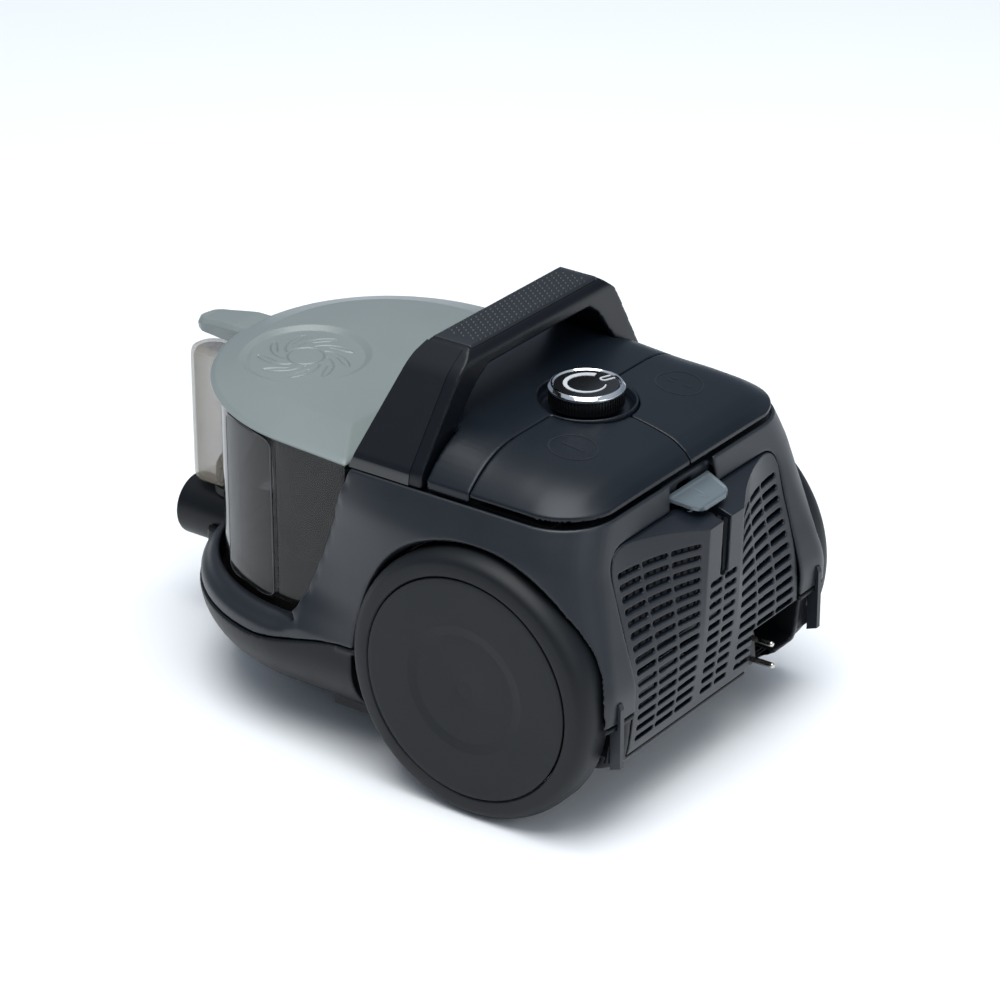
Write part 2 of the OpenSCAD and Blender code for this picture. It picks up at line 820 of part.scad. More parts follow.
module grille_slots() {
    for (row = [0:14]) let (z = grille_z0 + 8 + row * slot_pitch) {
        if (row < 11)
            left_and_right() box([2, 190, z], [15, 240, z + slot_h]);
        left_and_right() for (k = [0:2])
            box([spine_hw + 5 + k * 23, 180, z], [spine_hw + 26 + k * 23, 240, z + slot_h]);
    }
}

module exhaust_grille() {
    color([0.24, 0.25, 0.28]) one_mesh() difference() {
        union() {
            difference() {
                grille_solid(0, grille_z0, grille_z1, grille_hw);
                grille_solid(wall, grille_z0 + wall, grille_shelf - 2, grille_hw - wall);
                box([-120, 180, 0], [120, 192, 300]);
            }
            hook_places() box([0, 206.5, 50.6], [30, 209, grille_z0 + 1]);
        }
        grille_slots();
        box([-3.2, 203, 146], [3.2, 240, 200]);
        pocket_main(-gap);
        box([-80, 176, 20], [-43.4, 240, 60]);
        along_x(-120, 120) polygon([[200, grille_z1], [226, grille_shelf], [226, 210], [200, 210]]);
        along_x(-120, 120) polygon([[190, 184], [196, grille_z1 + 0.1], [190, 210]]);
        left_and_right() rod_z(3, grille_shelf, 210, 14, 203);
        along_y(180, 240) left_and_right()
            polygon([[grille_hw - 12, grille_z1 + 1], [grille_hw + 1, grille_z1 + 1],
                [grille_hw + 1, grille_z1 - 12]]);
    }
}

module grille_latch() {
    color([0.62, 0.64, 0.65]) union() {
        hull() {
            box([-25, 191.5, 199.8], [25, 193, 202]);
            box([-16, 214, 192.6], [16, 216, 194.6]);
        }
        box([-6, 187.4, 199.9], [6, 192, 201.4]);
    }
}

module latch_springs() {
    color([0.7, 0.7, 0.72]) left_and_right() spring(14, 203, grille_shelf, 192.6, 2.6, 0.8);
}

module exhaust_filter() {
    color([0.9, 0.9, 0.88]) difference() {
        box([-80, 172, 92], [80, 188, 170]);
        for (x = [-76:8:76])
            box([x, 180, 94], [x + 3, 190, 168]);
    }
}

module filter_frame() {
    color([0.2, 0.2, 0.22]) difference() {
        box([-86, 170, 88], [86, 189, 175]);
        box([-80, 160, 92], [80, 200, 170]);
    }
}

// ---------- drive and power ----------

module motor_housing() {
    color([0.3, 0.3, 0.32]) difference() {
        union() {
            rod_y(52, 34, 120, 0, motor_z);
            rod_y(40, 119, 150, 0, motor_z);
        }
        rod_y(49, 38, 116, 0, motor_z);
        rod_y(37, 115, 147, 0, motor_z);
        rod_y(20, 20, 60, 0, motor_z);
        for (a = [0:45:315])
            rod_y(6, 138, 158, 24 * cos(a), motor_z - 24 * sin(a));
    }
}

module motor_mounts() {
    color([0.08, 0.08, 0.08]) {
        difference() {
            rod_y(50, 26, 34, 0, motor_z);
            rod_y(24, 20, 40, 0, motor_z);
        }
        difference() {
            rod_y(24, 150, 156, 0, motor_z);
            rod_y(12, 140, 160, 0, motor_z);
        }
    }
}

module motor_stator() {
    color([0.5, 0.35, 0.2]) difference() {
        rod_y(49, 78, 114, 0, motor_z);
        rod_y(21.5, 70, 120, 0, motor_z);
    }
}

module motor_rotor() {
    color([0.6, 0.45, 0.3]) union() {
        rod_y(4, 39, 145, 0, motor_z);
        rod_y(20, 80, 112, 0, motor_z);
        rod_y(12, 120, 134, 0, motor_z);
    }
}

module motor_fan() {
    color([0.75, 0.76, 0.78]) difference() {
        union() {
            rod_y(44, 48, 50, 0, motor_z);
            rod_y(44, 64, 66, 0, motor_z);
            for (a = [0:40:320])
                translate([0, 49, motor_z]) rotate([0, a, 0]) box([8, 0, -0.8], [43, 16, 0.8]);
        }
        rod_y(4, 40, 70, 0, motor_z);
        rod_y(16, 40, 49.9, 0, motor_z);
    }
}

module motor_bearings() {
    color([0.6, 0.6, 0.62]) difference() {
        union() {
            rod_y(10, 138, 147, 0, motor_z);
            rod_y(10, 37, 43, 0, motor_z);
            box([-30, 38, motor_z - 4], [30, 41, motor_z + 4]);
        }
        rod_y(4 + running, 30, 160, 0, motor_z);
    }
}

module pre_filter() {
    color([0.25, 0.4, 0.6]) rod_y(filter_r, 14, 25.6, 0, filter_z);
}

module circuit_board() {
    color([0.1, 0.4, 0.2]) union() {
        box([-60, 50, frame_top], [60, 88, frame_top + 1.6]);
        box([-40, 56, frame_top + 1], [-20, 74, frame_top + 8]);
        box([10, 56, frame_top + 1], [34, 80, frame_top + 6]);
    }
}

module reel_drum() {
    color([0.85, 0.85, 0.83]) difference() {
        union() {
            rod_z(72, 162, 164, 0, reel_y);
            rod_z(72, 196, 198, 0, reel_y);
            rod_z(34, 163, 197, 0, reel_y);
        }
        rod_z(30, 165, 200, 0, reel_y);
        rod_z(5 + running, 150, 210, 0, reel_y);
    }
}

module rewind_spring() {
    color([0.55, 0.57, 0.6]) difference() {
        rod_z(29, 166, 190, 0, reel_y);
        rod_z(8, 150, 210, 0, reel_y);
    }
}

module wound_cord() {
    color([0.06, 0.06, 0.06]) difference() {
        rod_z(66, 164, 196, 0, reel_y);
        rod_z(34, 160, 200, 0, reel_y);
    }
}

module reel_axle() {
    color([0.7, 0.7, 0.72]) rod_z(5, 158, 206, 0, reel_y);
}

module reel_bracket() {
    color([0.25, 0.25, 0.27]) difference() {
        union() {
            box([-124, reel_y - 14, 204], [124, reel_y + 14, 207]);
            box([-84, reel_y - 14, 157], [84, reel_y + 14, 160]);
            left_and_right() box([80, reel_y - 14, 157], [84, reel_y + 14, 205]);
        }
        rod_z(5, 150, 210, 0, reel_y);
    }
}

module plug_body() {
    color([0.07, 0.07, 0.08]) {
        hull() {
            rod_y(5, 176, 205, -64, 51);
            rod_y(5, 176, 205, -62, 67);
        }
        rod_y(3.5, 150, 177, -63, 59);
    }
}

module plug_pins() {
    color([0.8, 0.78, 0.72]) {
        rod_y(2, 205, 223.6, -64, 50.4);
        rod_y(2, 205, 223.6, -62, 67.6);
    }
}

base_tray();
upper_body();
deck_cover();
bulkhead();
control_frame();
casing_screws();
carry_handle();
grip_insert();
handle_trims();
inlet_tube();
inlet_seal();
stand_ribs();
stub_axles();
axle_collars();
hub_left();
tyre_left();
hub_right();
tyre_right();
caster_bush();
caster_fork();
caster_axle();
caster_wheel();
bin_shell();
inlet_duct();
cyclone_cone();
shroud();
lid_seal();
bin_lid();
lid_pin();
lid_lever();
lever_pin();
lever_spring();
power_pedal();
cord_pedal();
pedal_pin();
pedal_springs();
knob_body();
knob_ring();
knob_pointer();
knob_switch();
exhaust_grille();
grille_latch();
latch_springs();
exhaust_filter();
filter_frame();
motor_housing();
motor_mounts();
motor_bearings();
motor_stator();
motor_rotor();
motor_fan();
pre_filter();
circuit_board();
reel_drum();
wound_cord();
rewind_spring();
reel_axle();
reel_bracket();
plug_body();
plug_pins();
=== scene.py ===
"""Looks of a canister vacuum cleaner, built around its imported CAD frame.

Shapes are worked out in millimetres, in the frame's own axes, and become metres in make_mesh().
+X is the cleaner's own left, -Y its front with the hose inlet, +Y its rear with the exhaust grille.
"""
import json
import math

import bmesh
import bpy
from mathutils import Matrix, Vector


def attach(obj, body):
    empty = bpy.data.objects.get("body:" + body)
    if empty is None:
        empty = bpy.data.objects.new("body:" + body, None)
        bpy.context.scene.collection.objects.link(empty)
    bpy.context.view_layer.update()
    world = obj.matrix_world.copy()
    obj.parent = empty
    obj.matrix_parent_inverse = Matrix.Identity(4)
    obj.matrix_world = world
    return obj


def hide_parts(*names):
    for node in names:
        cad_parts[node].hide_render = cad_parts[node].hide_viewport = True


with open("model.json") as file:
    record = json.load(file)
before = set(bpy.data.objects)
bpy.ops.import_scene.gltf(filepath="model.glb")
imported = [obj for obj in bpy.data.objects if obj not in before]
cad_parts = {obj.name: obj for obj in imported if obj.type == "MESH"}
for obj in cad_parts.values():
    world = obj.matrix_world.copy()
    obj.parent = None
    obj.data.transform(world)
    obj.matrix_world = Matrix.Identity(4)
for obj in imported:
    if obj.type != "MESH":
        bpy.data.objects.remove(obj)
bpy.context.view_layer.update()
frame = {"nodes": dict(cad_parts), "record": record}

MM = 0.001
FINE = 1.0

# ---------- the design's own dimensions ----------
SPLIT_Z = 88
WALL = 3
GAP = 0.6
AXLE_Y, AXLE_Z = 122, 94
TYRE_R, HUB_R, WHEEL_FACE_X = 94, 78, 150
CASTER_Y = -104
BIN_HALF, BIN_FRONT, BIN_Y, BIN_REAR, BIN_LOW, BIN_HIGH = 116, 121, -42, 6, 74, 214
LID_HALF, LID_FRONT, LID_RISE, LID_REAR = 127, 124, 14, 12
SWIRL_X, SWIRL_Y, SWIRL_R = 34, -93, 45
INLET_R, HOSE_R, INLET_Z, MOUTH_Y = 22.5, 17.5, 71, -224
PORT_R, PORT_Y = 13, -185
GRIP_Z, GRIP_HALF, FOOT_HALF, GRIP_T = 294, 82, 125, 15
KNOB_Y, KNOB_R, KNOB_Z, CUP_R = 113, 25.5, 253, 34
PEDAL_Y, MARK_X, MARK_Y = 109, 61, 145
GRILLE_HALF, GRILLE_LOW, GRILLE_HIGH, SPINE_HALF, SHELF_Z = 98, 54, 194, 20, 186
SLOT_H, SLOT_PITCH = 3.4, 8
DECK_HALF, DECK_EDGE_Z, DECK_T, BODY_TOP = 124, 220, 3.4, 213
CHASSIS_HALF, BASE_LOW = 113, 26
ARCH_R = TYRE_R + 2.5

BODY_WIDTH = [(88, 139), (120, 140), (165, 140), (186, 138), (200, 133), (213, 127), (221, 125)]
BODY_REAR = [(88, 221), (105, 221.5), (120, 218), (140, 212), (165, 205), (185, 200), (213, 196), (221, 196)]
BODY_CORNER = [(88, 16), (120, 22), (165, 34), (213, 40), (221, 40)]
BODY_TAPER = [(88, 2), (100, 8), (120, 18), (169, 24), (200, 8), (213, 0), (221, 0)]
BOWL_R = [(26, 96), (34, 114), (48, 129), (66, 137), (88, 137)]
CHASSIS_REAR = [(26, 60), (32, 150), (45, 205), (50, 213), (60, 216), (88, 219)]
GRILLE_EDGE = [(50, 213), (60, 216), (90, 219), (115, 217), (140, 211), (165, 204), (194, 198)]
GRILLE_SPINE = [(50, 214), (80, 218), (110, 221), (150, 222.5), (190, 224), (194, 224)]
DECK_CROWN = [(16, 238), (26, 245), (40, 249), (80, 245), (113, 241), (145, 239), (178, 232), (190, 225), (194.4, 220)]
LIP_WIDTH = [(70, 10), (90, 10), (98, 2.2), (214, 2.2)]


# ---------- numbers ----------
def clamp01(t):
    return min(1.0, max(0.0, t))


def smooth(t):
    return t * t * (3 - 2 * t)


def lookup(value, table):
    """Straight-line interpolation in a table of pairs."""
    if value <= table[0][0]:
        return table[0][1]
    for (x0, y0), (x1, y1) in zip(table, table[1:]):
        if value <= x1:
            return y0 + (y1 - y0) * (value - x0) / (x1 - x0)
    return table[-1][1]


def curve(value, table):
    """The same table as one smooth curve through its points."""
    if value <= table[0][0]:
        return table[0][1]
    if value >= table[-1][0]:
        return table[-1][1]
    last = len(table) - 1
    i = max(k for k in range(last) if table[k][0] <= value)

    def slope(k):
        before, after = table[max(k - 1, 0)], table[min(k + 1, last)]
        return (after[1] - before[1]) / (after[0] - before[0])

    (x0, y0), (x1, y1) = table[i], table[i + 1]
    h = x1 - x0
    t = (value - x0) / h
    return (y0 * (2 * t**3 - 3 * t**2 + 1) + slope(i) * h * (t**3 - 2 * t**2 + t)
            + y1 * (3 * t**2 - 2 * t**3) + slope(i + 1) * h * (t**3 - t**2))


def steps(start, end, size):
    count = max(1, round(abs(end - start) / size))
    return [start + (end - start) * k / count for k in range(count + 1)]


def arc(x, y, radius, start, end, count):
    """Points on an arc, angles in degrees."""
    angles = [math.radians(start + (end - start) * k / count) for k in range(count + 1)]
    return [(x + radius * math.cos(a), y + radius * math.sin(a)) for a in angles]


def both_sides(half):
    return list(half) + [(-x, y) for x, y in reversed(half)]


def rounded(outline, radii, count=6):
    """The outline with its corners rounded off."""
    result = []
    for i, corner in enumerate(outline):
        radius = radii[i] if isinstance(radii, (list, tuple)) else radii
        here = Vector(corner)
        back, ahead = Vector(outline[i - 1]) - here, Vector(outline[(i + 1) % len(outline)]) - here
        if radius <= 0:
            result.append(tuple(here))
            continue
        reach = min(radius / math.tan(back.angle(ahead) / 2), 0.45 * back.length, 0.45 * ahead.length)
        start, end = here + back.normalized() * reach, here + ahead.normalized() * reach
        for k in range(count + 1):
            t = k / count
            result.append(tuple(start * (1 - t) ** 2 + here * 2 * t * (1 - t) + end * t * t))
    return result


# ---------- meshes ----------
def make_mesh(name, points, faces):
    mesh = bpy.data.meshes.new(name)
    mesh.from_pydata([(x * MM, y * MM, z * MM) for x, y, z in points], [], faces)
    obj = bpy.data.objects.new(name, mesh)
    bpy.context.scene.collection.objects.link(obj)
    work = bmesh.new()
    work.from_mesh(mesh)
    bmesh.ops.remove_doubles(work, verts=work.verts, dist=1e-7)
    bmesh.ops.dissolve_degenerate(work, edges=work.edges, dist=1e-8)
    bmesh.ops.recalc_face_normals(work, faces=work.faces)
    work.to_mesh(mesh)
    work.free()
    return obj


def loft(rings, closed=False):
    """A solid through rings of equally many points; closed joins the last ring to the first."""
    count = len(rings[0])
    pairs = list(zip(range(len(rings) - 1), range(1, len(rings))))
    if closed:
        pairs.append((len(rings) - 1, 0))
    faces = [(a * count + i, a * count + (i + 1) % count, b * count + (i + 1) % count, b * count + i)
             for a, b in pairs for i in range(count)]
    if not closed:
        faces.append(tuple(range(count))[::-1])
        faces.append(tuple((len(rings) - 1) * count + i for i in range(count)))
    return make_mesh("work", [p for ring in rings for p in ring], faces)


PLACE = {
    "x": lambda u, v, d: (d, u, v),
    "y": lambda u, v, d: (u, d, v),
    "z": lambda u, v, d: (u, v, d),
}


def extrude(outline, axis, start, end):
    return loft([[PLACE[axis](u, v, d) for u, v in outline] for d in (start, end)])


def box(low, high):
    (x0, y0, z0), (x1, y1, z1) = low, high
    return extrude([(x0, y0), (x1, y0), (x1, y1), (x0, y1)], "z", z0, z1)


def rod(axis, radius, start, end, u, v, segments=96):
    return extrude(arc(u, v, radius, 0, 360 - 360 / segments, segments - 1), axis, start, end)


def lathe(profile, axis, u, v, segments=180):
    """A closed outline of (radius, position along the axis) turned round an axis through (u, v)."""
    rings = []
    for k in range(segments):
        a = 2 * math.pi * k / segments
        rings.append([PLACE[axis](u + r * math.cos(a), v + r * math.sin(a), d) for r, d in profile])
    return loft(rings, closed=True)


def bake(obj):
    bpy.context.view_layer.update()
    shape = obj.evaluated_get(bpy.context.evaluated_depsgraph_get())
    mesh = bpy.data.meshes.new_from_object(shape)
    obj.modifiers.clear()
    old = obj.data
    obj.data = mesh
    bpy.data.meshes.remove(old)


def combine(target, operation, tools):
    for tool in tools:
        step = target.modifiers.new(operation, "BOOLEAN")
        step.operation = operation
        step.solver = "MANIFOLD"
        step.object = tool
    bake(target)
    for tool in tools:
        bpy.data.objects.remove(tool)
    return target


def join(target, *tools):
    return combine(target, "UNION", tools)


def cut(target, *tools):
    return combine(target, "DIFFERENCE", tools)


def keep(target, *tools):
    return combine(target, "INTERSECT", tools)


def mirrored(make):
    """The shape that make(side) gives, for both sides."""
    return [make(1), make(-1)]


def soften(obj, voxel, rounds=5):
    """Rebuilds the shape as an even skin with slightly rounded edges."""
    skin = obj.modifiers.new("skin", "REMESH")
    skin.mode = "VOXEL"
    skin.voxel_size = voxel * FINE * MM
    relax = obj.modifiers.new("relax", "SMOOTH")
    relax.factor = 0.5
    relax.iterations = rounds
    bake(obj)
    obj.data.shade_smooth()
    return obj


# ---------- materials ----------
def node_between(tree, kind, **values):
    made = tree.nodes.new(kind)
    for key, value in values.items():
        made.inputs[key.replace("_", " ")].default_value = value
    return made


def moulded(name, colour, roughness, variation=0.10, grain=0.10, grain_mm=0.45, patch_mm=45,
            metallic=0.0, specular=0.5, alpha=1.0, pattern=None):
    """Moulded or turned surface: fine grain, slow colour drift and slightly uneven gloss."""
    made = bpy.data.materials.new(name)
    made.use_nodes = True
    tree = made.node_tree
    shader = tree.nodes["Principled BSDF"]
    where = tree.nodes.new("ShaderNodeTexCoord")
    drift = node_between(tree, "ShaderNodeTexNoise", Scale=1000 / patch_mm, Detail=3.0, Roughness=0.55)
    grit = node_between(tree, "ShaderNodeTexNoise", Scale=1000 / grain_mm, Detail=2.0, Roughness=0.6)
    for texture in (drift, grit):
        tree.links.new(where.outputs["Object"], texture.inputs["Vector"])
    mix = tree.nodes.new("ShaderNodeMix")
    mix.data_type = "RGBA"
    mix.inputs["A"].default_value = (*[c * (1 - variation) for c in colour], 1)
    mix.inputs["B"].default_value = (*[min(1, c * (1 + variation)) for c in colour], 1)
    tree.links.new(drift.outputs["Fac"], mix.inputs["Factor"])
    tree.links.new(mix.outputs["Result"], shader.inputs["Base Color"])
    gloss = node_between(tree, "ShaderNodeMapRange")
    gloss.inputs["From Min"].default_value = 0.1
    gloss.inputs["From Max"].default_value = 0.9
    gloss.inputs["To Min"].default_value = max(0.02, roughness - 0.05)
    gloss.inputs["To Max"].default_value = roughness + 0.05
    tree.links.new(drift.outputs["Fac"], gloss.inputs["Value"])
    tree.links.new(gloss.outputs["Result"], shader.inputs["Roughness"])
    bump = node_between(tree, "ShaderNodeBump", Strength=grain, Distance=0.0002)
    height = pattern(tree, where) if pattern else grit.outputs["Fac"]
    tree.links.new(height, bump.inputs["Height"])
    tree.links.new(bump.outputs["Normal"], shader.inputs["Normal"])
    shader.inputs["Metallic"].default_value = metallic
    shader.inputs["Specular IOR Level"].default_value = specular
    if alpha < 1:
        slant = node_between(tree, "ShaderNodeLayerWeight", Blend=0.35)
        wall = node_between(tree, "ShaderNodeMapRange")
        wall.inputs["To Min"].default_value = alpha
        wall.inputs["To Max"].default_value = min(1, alpha + 0.45)
        tree.links.new(slant.outputs["Facing"], wall.inputs["Value"])
        tree.links.new(wall.outputs["Result"], shader.inputs["Alpha"])
    return made


def waves(direction, pitch_mm):
    """Bump height of fine parallel ridges, such as turned metal, wire or pleats."""
    def build(tree, where):
        ridges = node_between(tree, "ShaderNodeTexWave", Scale=1000 / pitch_mm / 3.2, Distortion=0.4, Detail=1.0)
        ridges.bands_direction = direction
        tree.links.new(where.outputs["Object"], ridges.inputs["Vector"])
        return ridges.outputs["Fac"]
    return build


FINISHES = {
    "casing": dict(colour=(0.0082, 0.011, 0.0152), roughness=0.42, specular=0.48),
    # A darker, less glossy copy of the casing finish, used on the base tray: painted shade, since the tray is the same
    # casing material
    "casing_painted_shade": dict(colour=(0.0036, 0.0046, 0.0062), roughness=0.42, specular=0.24),
    "deck": dict(colour=(0.0042, 0.0068, 0.0108), roughness=0.36, specular=0.3),
    "handle": dict(colour=(0.0026, 0.0037, 0.0058), roughness=0.36, specular=0.26),
    "grip": dict(colour=(0.0075, 0.0095, 0.013), roughness=0.45, specular=0.4, grain=0.1),
    "gloss_trim": dict(colour=(0.002, 0.0027, 0.004), roughness=0.08, grain=0.01, specular=0.62, variation=0.05),
    "inner_plastic": dict(colour=(0.006, 0.0065, 0.0075), roughness=0.5),
    "nozzle": dict(colour=(0.0026, 0.0034, 0.0047), roughness=0.4, specular=0.26),
    "seal": dict(colour=(0.008, 0.008, 0.008), roughness=0.7, grain=0.2),
    "steel": dict(colour=(0.5, 0.5, 0.52), roughness=0.3, metallic=1.0, pattern=waves("X", 0.4), grain=0.08),
    "spring_steel": dict(colour=(0.45, 0.45, 0.48), roughness=0.35, metallic=1.0, pattern=waves("Z", 1.6), grain=1.0),
    "wheel_disc": dict(colour=(0.0056, 0.0068, 0.0086), roughness=0.52, specular=0.28, grain=0.14),
    "tyre": dict(colour=(0.0042, 0.0052, 0.0066), roughness=0.5, specular=0.28, grain=0.16),
    "bin_clear": dict(colour=(0.014, 0.0128, 0.012), roughness=0.05, grain=0.0, alpha=0.45, variation=0.05),
    "duct_clear": dict(colour=(0.24, 0.2, 0.145), roughness=0.05, grain=0.0, alpha=0.26, variation=0.05),
    "cyclone": dict(colour=(0.008, 0.008, 0.0085), roughness=0.35, grain=0.0),
    "lid_grey": dict(colour=(0.175, 0.2, 0.193), roughness=0.3, variation=0.04, grain=0.06, grain_mm=0.7),
    "knob_black": dict(colour=(0.006, 0.0062, 0.007), roughness=0.2, grain=0.02),
    "chrome": dict(colour=(0.82, 0.83, 0.85), roughness=0.06, metallic=1.0, grain=0.02, variation=0.03),
    "grille": dict(colour=(0.005, 0.0075, 0.0118), roughness=0.34, specular=0.4),
    "latch_silver": dict(colour=(0.12, 0.145, 0.16), roughness=0.28, grain=0.06, metallic=0.2),
    "filter_media": dict(colour=(0.05, 0.055, 0.06), roughness=0.85, pattern=waves("X", 8), grain=0.8),
    "copper": dict(colour=(0.5, 0.2, 0.07), roughness=0.3, metallic=0.9, pattern=waves("Y", 1.2), grain=0.7),
    "fan_metal": dict(colour=(0.6, 0.61, 0.63), roughness=0.3, metallic=1.0, grain=0.06),
    "board_green": dict(colour=(0.02, 0.14, 0.05), roughness=0.25, grain=0.05),
    "reel_plastic": dict(colour=(0.55, 0.55, 0.53), roughness=0.45),
    "cord_rubber": dict(colour=(0.009, 0.009, 0.01), roughness=0.5, pattern=waves("Z", 7), grain=0.8),
    "bright_print": dict(colour=(0.5, 0.51, 0.53), roughness=0.3, grain=0.03),
    "pin_metal": dict(colour=(0.66, 0.63, 0.56), roughness=0.2, metallic=1.0, grain=0.03),
}
FINISH = {slot: moulded(slot, **values) for slot, values in FINISHES.items()}
SLOT_OF = {part["node"]: part["material_slot"] for part in frame["record"]["subparts"]}
BODY_OF = {node: body for body, nodes in frame["record"]["behaviour"]["bodies"].items() for node in nodes}


def finish_piece(obj, name, body, slot, *nodes, look=None):
    """Names the piece, gives it its material and puts it on its body."""
    obj.name = name
    obj.data.name = name
    obj.data.materials.clear()
    obj.data.materials.append(FINISH[look or slot])
    obj.data.shade_smooth()
    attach(obj, body)
    if nodes:
        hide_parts(*nodes)
    return obj


def sharpen(obj, angle=35):
    """Keeps creases steeper than the angle crisp on a piece shaded smooth."""
    obj.data.set_sharp_from_angle(angle=math.radians(angle))
    return obj


# ---------- casing ----------
def body_x(y, z):
    full = curve(z, BODY_WIDTH) - curve(z, BODY_TAPER) * (max(0, 90 - y) / 114) ** 2
    return max(BIN_HALF + WALL + GAP, full)


LIP_Z = 90
EDGE_LINE = rounded([(-200, LIP_Z), (-33, LIP_Z), (16.4, 215)], [0, 26, 0], 14)


def edge_distance(y, z):
    """How far a point of the side view lies behind the casing's front edge."""
    best = 1e9
    here = Vector((y, z))
    for a, b in zip(EDGE_LINE, EDGE_LINE[1:]):
        start, along = Vector(a), Vector(b) - Vector(a)
        t = clamp01((here - start).dot(along) / along.length_squared)
        best = min(best, (here - start - along * t).length)
    return best


def edge_y(z):
    """Where the straight part of that edge stands at one height."""
    return -33 + (z - LIP_Z) * 49.4 / (215 - LIP_Z)


def edge_inset(y, z):
    width = lookup(z, LIP_WIDTH)
    return width * 0.85 * max(0.0, 1 - edge_distance(y, z) / width)


def casing_ring(z, inset=0.0, bevelled=False):
    """Outline of the whole casing at one height, from the front round to the rear."""
    half, front = body_x(BIN_Y, z), max(BIN_FRONT + WALL + GAP, body_x(BIN_Y, z))
    outline = []
    for a in steps(-90, 0, 3)[:-1]:
        t = math.radians(a)
        y = BIN_Y + front * math.sin(t)
        trim = inset + (edge_inset(y, z) if bevelled else 0)
        outline.append((max(0.01, (half - trim) * math.cos(t)), BIN_Y + (front - trim) * math.sin(t)))
    for y in steps(BIN_Y, 160, 6):
        outline.append((body_x(y, z) - inset - (edge_inset(y, z) if bevelled else 0), y))
    rear = curve(z, BODY_REAR) - inset
    radius = max(4, curve(z, BODY_CORNER) - inset)
    wide = curve(z, BODY_WIDTH) - inset
    outline += [(x, y) for x, y in arc(wide - radius, rear - radius, radius, 0, 90, 12)]
    return [(x, y, z) for x, y in both_sides(outline)]


def casing_solid(inset, low, high, bevelled=False, size=3):
    return loft([casing_ring(z, inset, bevelled) for z in steps(low, high, size)])


def seam_z(y):
    return 72 + 16 * smooth(clamp01((y + 70) / 90))


def below_seam(offset):
    line = [(y, seam_z(y) + offset) for y in steps(-200, 240, 10)]
    return extrude([(-200, 0), (240, 0)] + line[::-1], "x", -200, 200)


def above_seam(offset):
    line = [(y, seam_z(y) + offset) for y in steps(-200, 240, 10)]
    return extrude(line + [(240, 320), (-200, 320)], "x", -200, 200)


def bin_ring(grow, z, size=3):
    half = [(max(0.01, (BIN_HALF + grow) * math.cos(math.radians(a))),
             BIN_Y + (BIN_FRONT + grow) * math.sin(math.radians(a))) for a in steps(-90, 0, size)]
    corner = arc(BIN_HALF + grow - 8, BIN_REAR + grow - 8, 8, 0, 90, 6)
    return [(x, y, z) for x, y in both_sides(half + corner)]


def bin_solid(grow, low, high):
    return loft([bin_ring(grow, low), bin_ring(grow, high)])


def bowl_ring(z, inset):
    radius = curve(z, BOWL_R) - inset
    half = [(max(0.01, radius * math.cos(math.radians(a))), BIN_Y + radius * math.sin(math.radians(a)))
            for a in steps(-90, 0, 3)]
    return both_sides(half + [(radius, 22 - inset)])


def bowl(inset, low):
    levels = [BASE_LOW, 27, 29] + steps(32, SPLIT_Z + 4, 2.5)
    return loft([[(x, y, low if z == BASE_LOW else z) for x, y in bowl_ring(z, inset)]
                 for z in levels if z == BASE_LOW or z > low])


def grille_opening(extra=GAP):
    side = GRILLE_HALF + extra
    top = GRILLE_HIGH + extra
    outline = rounded([(-side, 0), (side, 0), (side, top), (-side, top)], [0, 0, 20, 20], 10)
    return extrude(outline, "y", 180, 240)


def latch_recess():
    low = [(-28, 190), (28, 190), (28, 214), (-28, 214)]
    high = [(-24.5, 190), (24.5, 190), (24.5, 214), (-24.5, 214)]
    return loft([[(x, y, GRILLE_HIGH - 2) for x, y in low], [(x, y, BODY_TOP + 3) for x, y in high]])


def arch_cut(side):
    opening = rod("x", ARCH_R, side * 112, side * 152, AXLE_Y, AXLE_Z, 160)
    bevel = [(0, 134), (ARCH_R, 134), (ARCH_R + 8, 146), (0, 146)]
    cone = lathe([(r, side * x) for r, x in bevel], "x", AXLE_Y, AXLE_Z, 160)
    return join(opening, cone)


def skirt_corner(side):
    """What a round takes off the skirt's lower end behind the wheel."""
    corner = [(126, 80), (150, 80), (150, 108), (146, 108)] + arc(134, 100, 12, 0, -90, 8) + [(126, 88)]
    return extrude([(side * x, z) for x, z in corner], "y", 206, 226)


def make_upper_body():
    shell = casing_solid(0, 66, BODY_TOP, bevelled=True, size=2.5)
    hollow = loft([casing_ring(z, WALL) for z in steps(64, BODY_TOP + 3, 6)])
    cut(shell, extrude(EDGE_LINE + [(-200, 215)], "x", -200, 200))
    rim = casing_solid(0.4, 66, LIP_Z, bevelled=True, size=2)
    keep(rim, box((-160, -200, 60), (160, -8, 92)))
    cut(shell, hollow)
    join(shell, cut(rim, bin_solid(4.2, 60, 95)))
    side_arches = [cut(keep(rod("x", ARCH_R + 3, side * 110, side * 138, AXLE_Y, AXLE_Z, 120),
                            casing_solid(0.8, SPLIT_Z, BODY_TOP - 2, size=8)),
                       rod("x", ARCH_R, side * 114, side * 150, AXLE_Y, AXLE_Z, 120),
                       box((-160, 0, 0), (160, 230, SPLIT_Z + 0.5))) for side in (1, -1)]
    join(shell, *side_arches)
    ledge = cut(casing_solid(1, 205.5, 209, size=3), casing_solid(20, 200, 212, size=6),
                extrude(EDGE_LINE + [(-200, 215)], "x", -200, 200))
    wall = cut(box((-32, 186, 196), (32, 190.5, 209)), box((-8, 180, 197), (8, 200, 203.4)))
    join(shell, ledge, wall)
    cut(shell, *mirrored(arch_cut))
    cut(shell, grille_opening(), latch_recess(), below_seam(0.35), *mirrored(skirt_corner))
    crisp = [(edge_y(107) - 0.5, 107), (edge_y(112) + 0.6, 112), (edge_y(217) + 0.6, 217), (-200, 217), (-200, 107)]
    shell = cut(soften(shell, 0.85, 16), extrude(crisp, "x", -200, 200))
    finish_piece(shell, "upper_body_shell", "chassis", "casing", "upper_body")
    sharpen(shell, 55)


